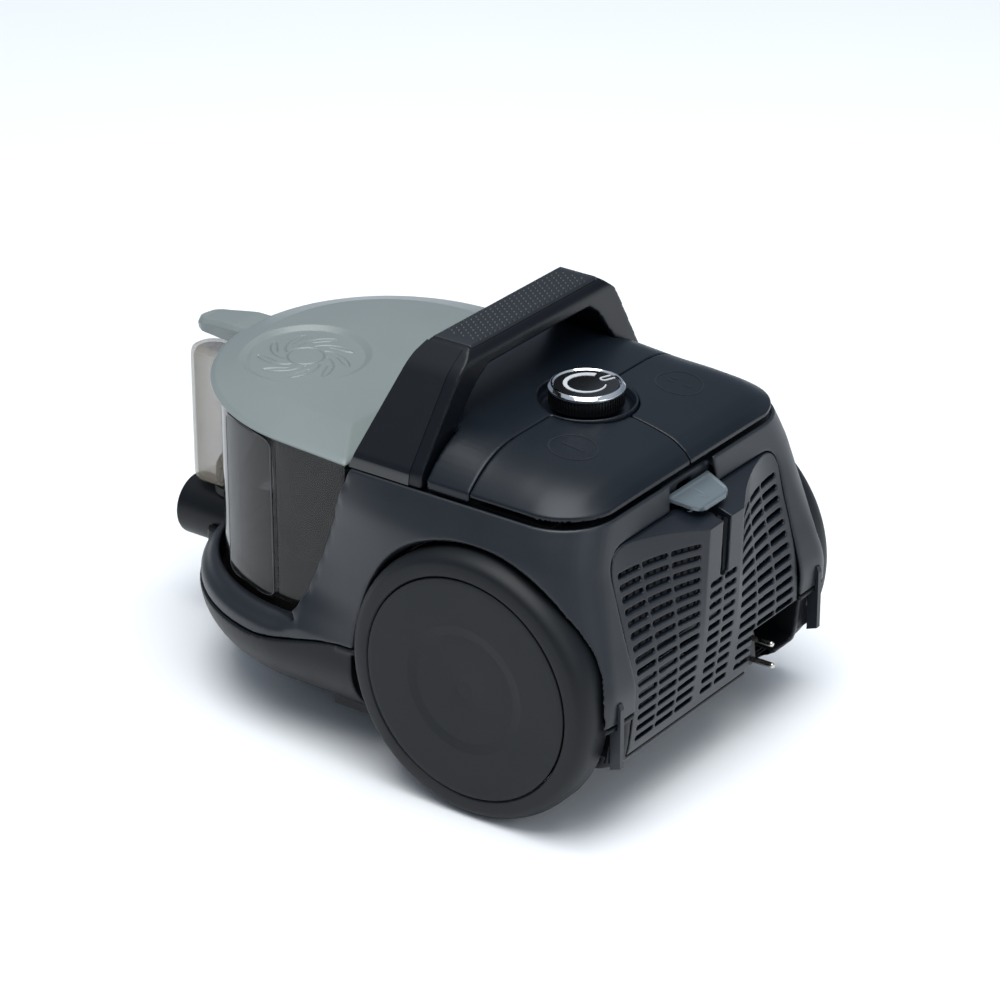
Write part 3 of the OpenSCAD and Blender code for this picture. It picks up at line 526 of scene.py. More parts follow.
def chassis_solid(inset):
    rings = []
    for z in [26, 27, 29, 31, 34, 38, 42, 46, 50, 56, 64, 76, SPLIT_Z]:
        rear = lookup(z, CHASSIS_REAR) - inset
        side = CHASSIS_HALF - inset
        outline = both_sides([(side, -12)] + arc(side - 11, rear - 11, 11, 0, 90, 8))
        rings.append([(x, y, max(z, BASE_LOW + inset)) for x, y in outline])
    return loft([ring for k, ring in enumerate(rings) if k == 0 or ring[0][2] > rings[k - 1][0][2]])


def nose(grow):
    return loft([[PLACE["y"](*p, y) for p in arc(0, INLET_Z - drop, r + grow, 0, 354, 59)]
                 for y, r, drop in ((-192 - grow, 26, 6), (-189, 29.4, 6), (-180, 31.5, 6.5), (-150, 35, 8))])


def plug_pocket(grow):
    return box((-101 - grow, 150 - grow, 53 - grow), (-44 + grow, 240, 84 + grow))


def make_base():
    base = bowl(0, BASE_LOW)
    join(base, keep(nose(0), box((-60, -230, BASE_LOW), (60, 0, 84))))
    cut(base, bowl(WALL + 1, BASE_LOW + WALL))
    floor = keep(box((-140, -180, BASE_LOW), (140, 18, BIN_LOW - 3)), bowl(1, BASE_LOW))
    hollow = keep(box((-137, -176, BASE_LOW + WALL), (137, 15, BIN_LOW - 6)), bowl(WALL, BASE_LOW + WALL))
    join(base, cut(floor, hollow))
    body = cut(chassis_solid(0), chassis_solid(WALL), box((-104, -30, 60), (104, 205, 110)))
    flange = cut(casing_solid(0, SPLIT_Z - 4, SPLIT_Z, size=2), box((3 - CHASSIS_HALF, -190, 80), (CHASSIS_HALF - 3, 216, 92)))
    keep(flange, box((-160, 10, 80), (160, 240, 92)))
    tabs = [box((min(side * 107, side * 122), 196, 58), (max(side * 107, side * 122), 216, 84)) for side in (1, -1)]
    join(base, body, flange, *tabs, keep(plug_pocket(2), chassis_solid(0)))
    bosses = [keep(rod("z", 6, 24, 84, side * 90, y, 32), chassis_solid(0)) for side in (1, -1) for y in (40, 140)]
    join(base, *bosses)
    cut(base, bin_solid(4.2, BIN_LOW - 1, SPLIT_Z + 8), rod("z", 23, 0, BASE_LOW + 14, 0, CASTER_Y),
        rod("z", 8, 20, 60, 0, CASTER_Y), rod("y", INLET_R + 0.4, -232, -150, 0, INLET_Z),
        box((-INLET_R, -200, INLET_Z), (INLET_R, -156, SPLIT_Z + 8)))
    cut(base, *[rod("x", ARCH_R, side * 115, side * 152, AXLE_Y, AXLE_Z, 160) for side in (1, -1)])
    opening = keep(grille_opening(), box((-120, 190, GRILLE_LOW - 1.2), (120, 240, 100)))
    holes = [rod("z", 4, 18, 40, side * 90, y, 32) for side in (1, -1) for y in (40, 140)]
    cut(base, opening, plug_pocket(0), box((-80, 176, 20), (-44, 240, 60)), *holes)
    cut(base, above_seam(-0.35))
    # The base tray takes the darker copy of the casing finish: painted shade
    finish_piece(soften(base, 1.0, 12), "base_shell", "chassis", "casing", "base_tray", look="casing_painted_shade")


# ---------- deck and pedals ----------
def deck_half(y):
    return DECK_HALF - (40 - math.sqrt(max(0, 1600 - (y - 155) ** 2)) if y > 155 else 0)


def deck_z(x, y):
    crown = curve(y, DECK_CROWN)
    return crown - (crown - DECK_EDGE_Z) * clamp01((abs(x) - deck_half(y) + 54) / 54) ** 2.4


def deck_slab(start, end, low_x, high_x):
    rings = []
    levels = steps(start, end, 2.5)
    if end > 190:
        levels = [y for y in levels if y < 190] + [190, 191.5, 192.7, 193.6, 194.2, end]
    for y in levels:
        left, right = max(low_x, -deck_half(y)), min(high_x, deck_half(y))
        row = steps(left, right, (right - left) / 60)
        top = [(x, y, deck_z(x, y)) for x in row]
        rings.append(top + [(x, y, z - DECK_T) for x, _, z in reversed(top)])
    return loft(rings)


def foot_cut():
    outline = [(90.2, 200), (92.2, 238), (80, 252), (130, 252), (130, 200)]
    return [extrude([(side * x, z) for x, z in outline], "y", 12, 75.6) for side in (1, -1)]


def make_deck():
    cover = deck_slab(16, PEDAL_Y - 0.5, -DECK_HALF, DECK_HALF)
    skirts = [box((min(side * 121, side * 124), 16, BODY_TOP + 0.4), (max(side * 121, side * 124), PEDAL_Y - 0.5, 219))
              for side in (1, -1)]
    front = [(x, 16, deck_z(x, 16) - 0.4) for x in steps(-118, 118, 6)]
    wall = loft([front + [(118, 16, 214), (-118, 16, 214)],
                 [(x, 19, z) for x, _, z in front] + [(118, 19, 214), (-118, 19, 214)]])
    cup = rod("z", CUP_R, 229, 241.5, 0, KNOB_Y, 128)
    join(cover, *skirts, wall, cup)
    cut(cover, lathe([(0, 235.5), (29.5, 235.5), (30.5, 238), (32, 240), (32.6, 260), (0, 260)], "z", 0, KNOB_Y, 128),
        rod("z", 4.2, 200, 260, 0, KNOB_Y, 32), *foot_cut())
    finish_piece(soften(cover, 0.9, 4), "deck_panel", "chassis", "deck", "deck_cover")
    for side, name, body, node in ((1, "power_pedal_cap", "power_button", "power_pedal"),
                                   (-1, "cord_pedal_cap", "cord_button", "cord_pedal")):
        low, high = (0.35, DECK_HALF) if side > 0 else (-DECK_HALF, -0.35)
        cap = deck_slab(PEDAL_Y + 0.1, 194.4, low, high)
        cut(cap, rod("z", CUP_R + GAP, 200, 260, 0, KNOB_Y, 128))
        lugs = [cut(box((min(side * x, side * (x + 5)), PEDAL_Y + 5, 221),
                        (max(side * x, side * (x + 5)), PEDAL_Y + 15, deck_z(x + 5, PEDAL_Y + 10) - 2)),
                    rod("x", 2.1, side * 40, side * 100, PEDAL_Y + 10, 226, 24)) for x in (48, 84)]
        join(cap, *lugs)
        finish_piece(soften(cap, 0.9, 4), name, body, "deck", node)


def stroke(line, half_width, height):
    """A thin raised line along points on the deck."""
    dense = []
    for a, b in zip(line, line[1:]):
        count = max(1, round(math.dist(a, b)))
        dense += [(a[0] + (b[0] - a[0]) * k / count, a[1] + (b[1] - a[1]) * k / count) for k in range(count)]
    dense.append(line[-1])
    pairs = []
    for i, here in enumerate(dense):
        before, after = dense[max(0, i - 1)], dense[min(len(dense) - 1, i + 1)]
        if line[0] == line[-1] and i in (0, len(dense) - 1):
            before, after = dense[-2], dense[1]
        along = (Vector(after) - Vector(before)).normalized() * half_width
        pairs.append(((here[0] - along.y, here[1] + along.x), (here[0] + along.y, here[1] - along.x)))
    return loft(on_deck(pairs, height))


def on_deck(outline, height):
    """Rings for a thin band that follows the deck, from pairs of points on its two edges."""
    rings = []
    for outer, inner in outline:
        rings.append([(outer[0], outer[1], deck_z(*outer) + height), (inner[0], inner[1], deck_z(*inner) + height),
                      (inner[0], inner[1], deck_z(*inner) - 0.5), (outer[0], outer[1], deck_z(*outer) - 0.5)])
    return rings


def make_marks():
    """The pedals' engraved signs: a ring on each, with a bar on one and a plug on the other."""
    for side, body in ((1, "power_button"), (-1, "cord_button")):
        x, y = side * MARK_X, MARK_Y
        band = zip(arc(x, y, 16.4, 0, 357, 119), arc(x, y, 15.2, 0, 357, 119))
        ring = loft(on_deck(band, 0.15), closed=True)
        if side > 0:
            strokes = [([(x, y - 8), (x, y + 8)], 0.8)]
        else:
            head = rounded([(x - 4, y - 3.5), (x + 4, y - 3.5), (x + 4, y + 2), (x, y + 5), (x - 4, y + 2)], 1.2, 4)
            strokes = [(head + head[:1], 0.7), ([(x - 2.2, y - 8), (x - 2.2, y - 3.5)], 0.7),
                       ([(x + 2.2, y - 8), (x + 2.2, y - 3.5)], 0.7), ([(x, y + 4.4), (x, y + 9)], 0.7)]
        signs = [stroke(line, width, 0.15) for line, width in strokes]
        join(ring, *signs)
        mark = finish_piece(ring, "power_mark" if side > 0 else "cord_mark", body, "seal", look="gloss_trim")
        sharpen(mark)


# ---------- handle ----------
def handle_arch(inset, low=BODY_TOP - 0.6, high=GRIP_Z):
    under = GRIP_Z - GRIP_T - 2
    outer = rounded(both_sides([(FOOT_HALF - inset, low), (FOOT_HALF - inset, 222), (GRIP_HALF + 6 - inset, high - 14),
                                (GRIP_HALF - 12, high - inset)]), [0, 40, 30, 22, 22, 30, 40, 0], 10)
    inner = rounded(both_sides([(91, 195), (93, 238), (GRIP_HALF - 14, under - 8), (GRIP_HALF - 26, under)]),
                    [0, 20, 14, 8, 8, 14, 20, 0], 8)
    return outer, inner


def handle_side(inset):
    return rounded([(14 + inset, BODY_TOP - 0.6), (18 + inset, 222), (36 + inset, GRIP_Z - 9), (42 + inset, GRIP_Z - inset),
                    (70 - inset, GRIP_Z - inset), (76 - inset, GRIP_Z - 8), (72 - inset, 222), (72 - inset, BODY_TOP - 0.6)],
                   [2, 30, 9, 7, 7, 9, 30, 2], 7)


def make_handle():
    outer, inner = handle_arch(0)
    body = keep(extrude(outer, "y", 0, 100), extrude(handle_side(0), "x", -140, 140))
    cut(body, extrude(inner, "y", -10, 120))
    panel = keep(extrude(outer, "y", 0, 100), extrude(handle_side(0), "x", -140, 140))
    cut(panel, extrude(inner, "y", -10, 120))
    half = GRIP_HALF - 12
    keep(panel, extrude([(-half, GRIP_Z - 4.6), (half, GRIP_Z - 4.6), (half, GRIP_Z + 4), (-half, GRIP_Z + 4)], "y", 0, 71.4))
    cut(body, box((-half - 0.15, -5, GRIP_Z - 4.75), (half + 0.15, 71.6, GRIP_Z + 6)))
    finish_piece(soften(body, 0.9, 6), "handle_frame", "chassis", "handle", "carry_handle")
    soften(panel, 0.5, 4)
    dimple(panel)
    finish_piece(panel, "grip_panel", "chassis", "grip", "grip_insert")

    outer, inner = handle_arch(-0.5)
    skin = keep(extrude(outer, "y", 0, 100), extrude(handle_side(-0.5), "x", -140, 140))
    core = keep(extrude(handle_arch(0.9)[0], "y", 0, 100), extrude(handle_side(0.9), "x", -140, 140))
    cut(skin, core, extrude(inner, "y", -10, 120), box((-74, -10, 190), (74, 120, 320)))
    lean = [(10, BODY_TOP + 0.6), (62, BODY_TOP + 0.6), (66, GRIP_Z - 22), (68, GRIP_Z + 2), (10, GRIP_Z + 2)]
    keep(skin, extrude(lean, "x", -140, 140))
    finish_piece(skin, "handle_gloss_trims", "chassis", "gloss_trim", "handle_trims")
    sharpen(skin, 24)


def dimple(panel):
    """Presses staggered rows of small dimples into the grip's top."""
    pitch_x, pitch_y, radius, depth = 5.3, 3.75, 1.25, 1.0
    for vertex in panel.data.vertices:
        x, y, z = (c / MM for c in vertex.co)
        if z < GRIP_Z - 3.2 or abs(x) > 63 or not 40.2 < y < 69.8:
            continue
        row = round((y - 55) / pitch_y)
        shift = pitch_x / 2 if row % 2 else 0
        near_x = (round((x - shift) / pitch_x)) * pitch_x + shift
        gone = math.hypot(x - near_x, y - 55 - row * pitch_y)
        if gone < radius and abs(near_x) < 62:
            vertex.co.z -= depth * (1 - (gone / radius) ** 2) * MM


# ---------- bin ----------
def window_lift(a, z):
    """How far the bin's raised front window stands out, at an angle round the front and a height."""
    u, v = (a + 20.5) / 14, (z - 151) / 60
    edge = min(1 - abs(u), (1 - abs(v)) * 1.6)
    corner = math.hypot(max(0, abs(u) - 0.8) / 0.2, max(0, abs(v) - 0.87) / 0.13)
    return 2.4 * smooth(clamp01(min(edge / 0.06, (1 - corner) / 0.25)))


def make_bin():
    rings = []
    for z in steps(BIN_LOW, BIN_HIGH, 1.25 * FINE):
        foot = 2.5 * (1 - clamp01((z - BIN_LOW) / 4)) ** 2
        half = []
        for a in steps(-90, 0, 0.7 * FINE):
            t = math.radians(a)
            half.append((t, (BIN_HALF - foot) * math.cos(t), BIN_Y + (BIN_FRONT - foot) * math.sin(t)))
        corner = arc(BIN_HALF - foot - 8, BIN_REAR - foot - 8, 8, 0, 90, 6)
        right = [(x + window_lift(math.degrees(t), z) * math.cos(t), y + window_lift(math.degrees(t), z) * math.sin(t))
                 for t, x, y in half]
        left = [(-x, y) for t, x, y in half]
        rings.append([(x, y, z) for x, y in right + corner + [(-x, y) for x, y in reversed(corner)] + left[::-1]])
    shell = loft(rings)
    cut(shell, loft([bin_ring(-2.6, BIN_LOW + 3, 2), bin_ring(-2.6, BIN_HIGH + 2, 2)]),
        rod("y", PORT_R, -180, -150, 0, 180), rod("y", 17, 0, 12, 0, 140))
    finish_piece(shell, "bin_window_shell", "bin", "bin_clear", "bin_shell")
    sharpen(shell, 30)
    # A dark gloss tube laid along the raised window's outline: a painted shade line for the window's edge, not a part
    # of its own
    window_edge_path = rounded([(-33.6, 92.5), (-7.4, 92.5), (-7.4, 209.5), (-33.6, 209.5)], [6, 6, 6, 6], 8)
    edge_shade_rings = []
    for k, (a, z) in enumerate(window_edge_path):
        t = math.radians(a)
        out = Vector((math.cos(t) / BIN_HALF, math.sin(t) / BIN_FRONT, 0)).normalized()
        ahead, back = window_edge_path[(k + 1) % len(window_edge_path)], window_edge_path[k - 1]
        along = Vector((0, 0, ahead[1] - back[1])) + Vector((-out.y, out.x, 0)) * (ahead[0] - back[0]) * 2.05
        side = along.normalized().cross(out)
        middle = Vector((BIN_HALF * math.cos(t), BIN_Y + BIN_FRONT * math.sin(t), z)) + out * 1.9
        edge_shade_rings.append([tuple(middle + (out * math.cos(b) + side * math.sin(b)) * 0.75)
                     for b in [math.pi * j / 5 for j in range(10)]])
    # The tube's dark colour is painted shade along the window's edge
    finish_piece(loft(edge_shade_rings, closed=True), "bin_window_edge_shade", "bin", "gloss_trim")

    def duct_ring(z, inset):
        front = arc(0, -203, 16 - inset, 180, 360, 24)
        return [(x, y, z) for x, y in front + [(16 - inset, -166 - inset * 0.5), (inset - 16, -166 - inset * 0.5)]]

    ends = [(97.4, 3), (98.4, 1.4), (100, 0.4), (102, 0)]
    levels = ends + [(z, 0) for z in steps(110, 188, 6)] + [(194, 0.3), (196.4, 1.2), (197.4, 3)]
    duct = loft([duct_ring(z, inset) for z, inset in levels])
    cut(duct, loft([duct_ring(99.6, 4), duct_ring(103, 2.2), duct_ring(192, 2.2), duct_ring(195.2, 4)]),
        rod("z", PORT_R, 90, 110, 0, PORT_Y), rod("y", PORT_R, -180, -150, 0, 180))
    finish_piece(duct, "duct_shell", "bin", "duct_clear", "inlet_duct")
    sharpen(duct, 30)
    elbow = lathe(rounded([(PORT_R + 1, 99.8), (PORT_R + 2.2, 103), (PORT_R + 1.6, 112), (PORT_R - 1, 117),
                           (PORT_R - 3, 116), (PORT_R - 1.5, 99.8)], 1.2, 3), "z", 0, PORT_Y, 64)
    finish_piece(elbow, "duct_elbow", "bin", "cyclone")
    foot = cut(loft([bin_ring(-2.9, z, 3) for z in (77.1, 78, 88, 89)]), bin_solid(-7, 70, 95))
    finish_piece(soften(foot, 1.2, 3), "bin_foot_ring", "bin", "cyclone")


def make_cyclone():
    """The dark cup round the cyclone, and the shroud's skirt inside it as a plain thin band."""
    wall = rounded([(58, 100), (64, 206), (61.6, 206), (55.6, 100)], 0.8, 3)
    finish_piece(lathe(wall, "z", 14, -62, 128), "cyclone_cup", "bin", "cyclone")
    rows = []
    for z in steps(146, 198, 2.0):
        rows.append([(45.2 * math.cos(a), -60 + 45.2 * math.sin(a), z) for a in [2 * math.pi * k / 144 for k in range(144)]])
    inner = [[(x * 0.985, -60 + (y + 60) * 0.985, z) for x, y, z in row] for row in reversed(rows)]
    mesh = loft(rows + inner, closed=True)
    finish_piece(mesh, "shroud_mesh", "bin", "latch_silver")


# ---------- lid ----------
def lid_outline_radius(angle):
    """Distance from the swirl's centre to the lid's rim in one direction."""
    dx, dy = math.cos(angle), math.sin(angle)
    low, high = 0.0, 400.0
    for _ in range(40):
        mid = (low + high) / 2
        x, y = SWIRL_X + dx * mid, SWIRL_Y + dy * mid
        inside = y < LID_REAR and abs(x) < LID_HALF
        if y < BIN_Y:
            inside = inside and (x / LID_HALF) ** 2 + ((y - BIN_Y) / LID_FRONT) ** 2 < 1
        low, high = (mid, high) if inside else (low, mid)
    return low


def rim_share(x, y):
    """0 on the lid's rim, 1 at its heart."""
    heart_y = -64
    dx, dy = x, y - heart_y
    reach = math.hypot(dx, dy)
    if reach < 1e-6:
        return 1.0
    limits = [LID_HALF / abs(dx)] if abs(dx) > 1e-9 else []
    if dy > 0:
        limits.append((LID_REAR - heart_y) / dy)
    a = (dx / LID_HALF) ** 2 + (dy / LID_FRONT) ** 2
    b = 2 * dy * (heart_y - BIN_Y) / LID_FRONT**2
    c = ((heart_y - BIN_Y) / LID_FRONT) ** 2 - 1
    front = (-b + math.sqrt(b * b - 4 * a * c)) / (2 * a)
    if heart_y + dy * front < BIN_Y:
        limits.append(front)
    return clamp01(1 - 1 / min(limits))


def swirl_groove(x, y):
    """Depth of the engraved vanes and the small circle in the lid's round recess."""
    dx, dy = x - SWIRL_X, y - SWIRL_Y
    radius, angle = math.hypot(dx, dy), math.degrees(math.atan2(dy, dx))
    depth = math.exp(-((radius - 12.5) / 0.6) ** 2)
    if 14 < radius < 34:
        t = (radius - 14) / 20
        for k in range(9):
            lead = 40 * k - 62 * t
            for line, start in ((lead, 0.0), (lead - 17 * math.sin(math.pi * t), 0.3)):
                off = abs((angle - line + 180) % 360 - 180) * math.pi / 180 * radius * 0.72
                if t > start:
                    fade = clamp01((1 - t) / 0.08) * clamp01((t - start) / 0.06)
                    depth = max(depth, math.exp(-(off / 0.6) ** 2) * fade)
    return 0.95 * depth


def lid_base(y):
    return 214.6 + (LID_REAR - y) * 0.05


def lid_dome(share):
    """A flat flank rising from the rim, then the gently curved top."""
    flank = 8.6 * clamp01((share - 0.03) / 0.22)
    return flank + (LID_RISE - 10.6) * (1 - (1 - clamp01((share - 0.25) / 0.4)) ** 1.5)


def lid_z(x, y):
    share = rim_share(x, y)
    gone = math.hypot(x - SWIRL_X, y - SWIRL_Y)
    lip = 2 * clamp01(share / 0.03)
    recess = 3.0 * clamp01((SWIRL_R - gone) / 5)
    return lid_base(y) + lip + lid_dome(share) - recess - (swirl_groove(x, y) if gone < 36 else 0)


def make_lid():
    turns = 520
    angles = [2 * math.pi * k / turns for k in range(turns)]
    reach = [lid_outline_radius(a) for a in angles]
    near = steps(0.3, SWIRL_R + 2, 0.42 * FINE)
    far = [t ** 0.85 for t in steps(0, 1, 0.018)][1:]
    top = []
    for radius in near:
        top.append([(SWIRL_X + radius * math.cos(a), SWIRL_Y + radius * math.sin(a)) for a in angles])
    for t in far:
        ring = []
        for a, limit in zip(angles, reach):
            radius = near[-1] + (limit - near[-1]) * t if limit > near[-1] else limit
            ring.append((SWIRL_X + radius * math.cos(a), SWIRL_Y + radius * math.sin(a)))
        top.append(ring)
    rings = [[(x, y, lid_z(x, y)) for x, y in ring] for ring in top]
    edge = rings[-1]
    lip = [(x, y, z - 0.9) for x, y, z in edge]
    under_edge = [(x + (0 - x) * 0.028, y + (-64 - y) * 0.028, z - 1.2) for x, y, z in lip]
    inside = []
    for k in (0.05, 0.1, 0.16, 0.22, 0.28, 0.4, 0.6, 0.8, 0.97):
        ring = [(x * (1 - k), y + (-64 - y) * k) for x, y, _ in edge]
        inside.append([(x, y, lid_base(y) + 0.3 + max(0, lid_dome(rim_share(x, y)) - 5.5)) for x, y in ring])
    lid = loft(rings + [lip, under_edge] + inside)
    finish_piece(lid, "lid_cover", "lid", "lid_grey", "bin_lid")
    sharpen(lid, 50)

    rings = []
    for y in [-211.6, -211, -209.6, -207, -203, -199] + steps(-196, -156, 4):
        reach = clamp01((-199 - y) / 12.8) if y < -199 else 0
        half = max(0.6, (13.4 + 3.6 * smooth(clamp01((y + 199) / 30))) * math.sqrt(max(0.0, 1 - reach**2)))
        top_z = lookup(y, [(-212, 219.4), (-207, 221.4), (-199, 222.6), (-186, 224.4), (-172, 226), (-156, 226)])
        low_z = lookup(y, [(-212, 214.6), (-204, 212.4), (-186, 212), (-172, 213), (-171, 216), (-156, 216)])
        bevel = min(3.4, half * 0.5)
        outline = rounded([(-half * 0.92, low_z), (half * 0.92, low_z), (half, top_z - bevel), (half - bevel, top_z),
                           (bevel - half, top_z), (-half, top_z - bevel)], 1.1, 4)
        rings.append([(x, y, z) for x, z in outline])
    lever = loft(rings)
    ridge = extrude(rounded([(-6, -205.4), (6, -205.4), (6, -203.6), (-6, -203.6)], 0.8, 4), "z", 218, 222.4)
    join(lever, ridge)
    cut(lever, box((17.2, -163, 205), (22, -150, 226.5)), box((-22, -163, 205), (-17.2, -150, 226.5)))
    finish_piece(soften(lever, 0.55, 4), "lever_cap", "lever", "lid_grey", "lid_lever")


# ---------- inlet, wheels, knob ----------
def make_inlet():
    mouth = rounded([(HOSE_R, MOUTH_Y + 24), (HOSE_R, MOUTH_Y), (INLET_R, MOUTH_Y), (INLET_R, -168), (16, -168), (16, MOUTH_Y + 24)],
                    [0.2, 1.2, 2.2, 0.3, 0.3, 0.3], 6)
    tube = cut(lathe(mouth, "y", 0, INLET_Z, 160), rod("z", PORT_R, INLET_Z, INLET_Z + 40, 0, PORT_Y, 64))
    finish_piece(tube, "hose_mouth", "chassis", "nozzle", "inlet_tube")
    sharpen(tube)


def make_wheels():
    face = WHEEL_FACE_X
    disc = rounded([(6.1, face - 26), (11, face - 26), (11, face - 8), (66, face - 8), (HUB_R - 0.8, face - 6),
                    (HUB_R - 0.8, face - 1.5), (HUB_R - 4, face - 1.3), (45, face - 1.5), (38, face - 2.5), (6.1, face - 2.6)],
                   [0.2, 0.4, 1, 1, 0.6, 0.9, 2, 3, 3, 0.1], 6)
    disc = [p for p in disc]
    disc[-1] = (0.0, face - 2.6)
    disc.append((0.0, face - 8))
    disc.append((6.1, face - 8))
    tyre = [(HUB_R, face - 28), (TYRE_R - 3, face - 30), (TYRE_R - 0.8, face - 29), (TYRE_R, face - 27)]
    tyre += [(TYRE_R, face - y) for y in (24, 20, 17)]
    tyre += [(TYRE_R - 8.5 + 8.5 * math.cos(math.radians(a)), face - 15.5 + 13.4 * math.sin(math.radians(a)))
             for a in steps(4, 84, 8)]
    tyre += [(HUB_R + 3, face - 1.5), (HUB_R + 0.9, face - 1.6), (HUB_R, face - 2.6)]
    for side, name in ((1, "left"), (-1, "right")):
        hub = lathe([(r, side * x) for r, x in disc], "x", AXLE_Y, AXLE_Z, 200)
        finish_piece(hub, f"hub_disc_{name}", f"wheel_{name}", "wheel_disc", f"hub_{name}")
        sharpen(hub, 40)
        ring = lathe([(r, side * x) for r, x in tyre], "x", AXLE_Y, AXLE_Z, 240)
        finish_piece(ring, f"tyre_ring_{name}", f"wheel_{name}", "tyre", f"tyre_{name}")
        sharpen(ring, 40)


def make_knob():
    profile = [(3.1, 238.4), (KNOB_R - 2, 238.4), (KNOB_R - 1.2, 239.2), (KNOB_R - 1.2, KNOB_Z - 4), (KNOB_R - 4.2, KNOB_Z - 4),
               (KNOB_R - 4.2, KNOB_Z - 0.9), (0, KNOB_Z - 0.9), (0, 246), (3.1, 246)]
    knob = lathe(profile, "z", 0, KNOB_Y, 180)
    ribs = []
    for k in range(72):
        a = 2 * math.pi * k / 72
        across, out = Vector((-math.sin(a), math.cos(a))), Vector((math.cos(a), math.sin(a)))
        centre = Vector((0, KNOB_Y))
        corners = [out * (KNOB_R - 1.6) - across * 0.7, out * (KNOB_R - 0.35) - across * 0.3,
                   out * (KNOB_R - 0.35) + across * 0.3, out * (KNOB_R - 1.6) + across * 0.7]
        ribs.append(extrude([tuple(centre + c) for c in corners], "z", 239.3, KNOB_Z - 4.1))
    first = ribs[0]
    with bpy.context.temp_override(active_object=first, selected_editable_objects=ribs):
        bpy.ops.object.join()
    join(knob, first)
    finish_piece(knob, "knob_grip", "knob", "knob_black", "knob_body")
    sharpen(knob, 30)
    band = rounded([(KNOB_R - 4, KNOB_Z - 3.9), (KNOB_R, KNOB_Z - 3.9), (KNOB_R + 0.0, KNOB_Z - 2), (KNOB_R - 1.8, KNOB_Z),
                    (KNOB_R - 2.9, KNOB_Z), (KNOB_R - 4, KNOB_Z - 0.9)], [0.2, 0.6, 0.8, 0.6, 0.4, 0.2], 5)
    ring = lathe(band, "z", 0, KNOB_Y, 220)
    finish_piece(ring, "knob_chrome_ring", "knob", "chrome", "knob_ring")
    sharpen(ring, 50)
    rings = []
    for k in range(97):
        t = k / 96
        a = math.radians(192 + 285 * t)
        wide = 4.4 - 3.2 * t
        radii = (11.6 + 0.3 * wide, 11.6 + 1.3 * wide)
        rings.append([(r * math.cos(a), KNOB_Y + r * math.sin(a), z)
                      for r, z in ((radii[0], KNOB_Z - 1.2), (radii[1], KNOB_Z - 1.2), (radii[1] - 0.25, KNOB_Z - 0.5),
                                   (radii[0] + 0.25, KNOB_Z - 0.5))])
    sweep = loft(rings)
    a = math.radians(158)
    out, across = Vector((math.cos(a), math.sin(a))), Vector((-math.sin(a), math.cos(a)))
    bow = [(20.4, -3.0), (13.6, -3.0)] + [(13.6 - 3.0 * math.sin(math.radians(b)), -3.0 * math.cos(math.radians(b)))
                                         for b in steps(15, 165, 15)] + [(13.6, 3.0), (20.4, 3.0), (20.4, 1.7), (13.6, 1.7)]
    bow += [(13.6 - 1.7 * math.sin(math.radians(b)), 1.7 * math.cos(math.radians(b))) for b in steps(15, 165, 15)]
    bow += [(13.6, -1.7), (20.4, -1.7)]
    outline = [tuple(Vector((0, KNOB_Y)) + out * u + across * v) for u, v in bow]
    pointer = extrude(outline, "z", KNOB_Z - 1.2, KNOB_Z - 0.4)
    join(sweep, pointer)
    finish_piece(sweep, "knob_marks", "knob", "chrome", "knob_pointer", look="bright_print")
    sharpen(sweep, 30)


# ---------- rear ----------
def grille_y(x, z):
    t = clamp01((GRILLE_HALF - abs(x)) / (GRILLE_HALF - SPINE_HALF))
    return curve(z, GRILLE_EDGE) + (curve(z, GRILLE_SPINE) - curve(z, GRILLE_EDGE)) * t * t


def grille_block(back, low, high, side):
    cols = steps(-side, -SPINE_HALF, 3) + steps(-SPINE_HALF, SPINE_HALF, 5)[1:] + steps(SPINE_HALF, side, 3)[1:]
    return loft([[(x, 187, z) for x in cols] + [(x, grille_y(x, z) - back, z) for x in reversed(cols)]
                 for z in steps(low, high, 4)])


def make_grille():
    cover = grille_block(0, GRILLE_LOW, GRILLE_HIGH, GRILLE_HALF)
    keep(cover, extrude(rounded([(-GRILLE_HALF, 20), (GRILLE_HALF, 20), (GRILLE_HALF, GRILLE_HIGH), (-GRILLE_HALF, GRILLE_HIGH)],
                                [0, 0, 19, 19], 10), "y", 150, 260))
    cut(cover, grille_block(WALL, GRILLE_LOW + WALL, SHELF_Z - 2, GRILLE_HALF - WALL), box((-120, 180, 0), (120, 192, 300)))
    join(cover, *[box((x, 206.5, 50.6), (x + 30, 209, GRILLE_LOW + 1)) for x in (60, -38)])
    slots = []
    for row in range(15):
        z = GRILLE_LOW + 8 + row * SLOT_PITCH
        for side in (1, -1):
            spans = [(SPINE_HALF + 5 + 23 * k, SPINE_HALF + 26 + 23 * k) for k in range(3)]
            if row < 11:
                spans.append((1.4, 15.5))
            for start, end in spans:
                low_z, high_z = z, z + SLOT_H + 0.1
                corners = [(side * start, low_z), (side * end, low_z), (side * end, high_z), (side * start, high_z)]
                slots.append(extrude(rounded(corners, 2.2, 5), "y", 180, 240))
    first = slots[0]
    with bpy.context.temp_override(active_object=first, selected_editable_objects=slots):
        bpy.ops.object.join()
    cut(cover, first)
    parking = rounded([(-4.6, 146), (4.6, 146), (4.6, 202), (-4.6, 202)], [4, 4, 0, 0], 6)
    cut(cover, extrude(parking, "y", 203, 240), plug_pocket(GAP), box((-80, 176, 20), (-43.4, 240, 60)),
        extrude([(200, GRILLE_HIGH), (226, SHELF_Z), (226, 210), (200, 210)], "x", -120, 120),
        extrude([(190, 184), (196, GRILLE_HIGH + 0.1), (190, 210)], "x", -120, 120),
        *[rod("z", 3, SHELF_Z, 210, side * 14, 203, 32) for side in (1, -1)])
    finish_piece(soften(cover, 0.6, 2), "grille_cover", "grille", "grille", "exhaust_grille")


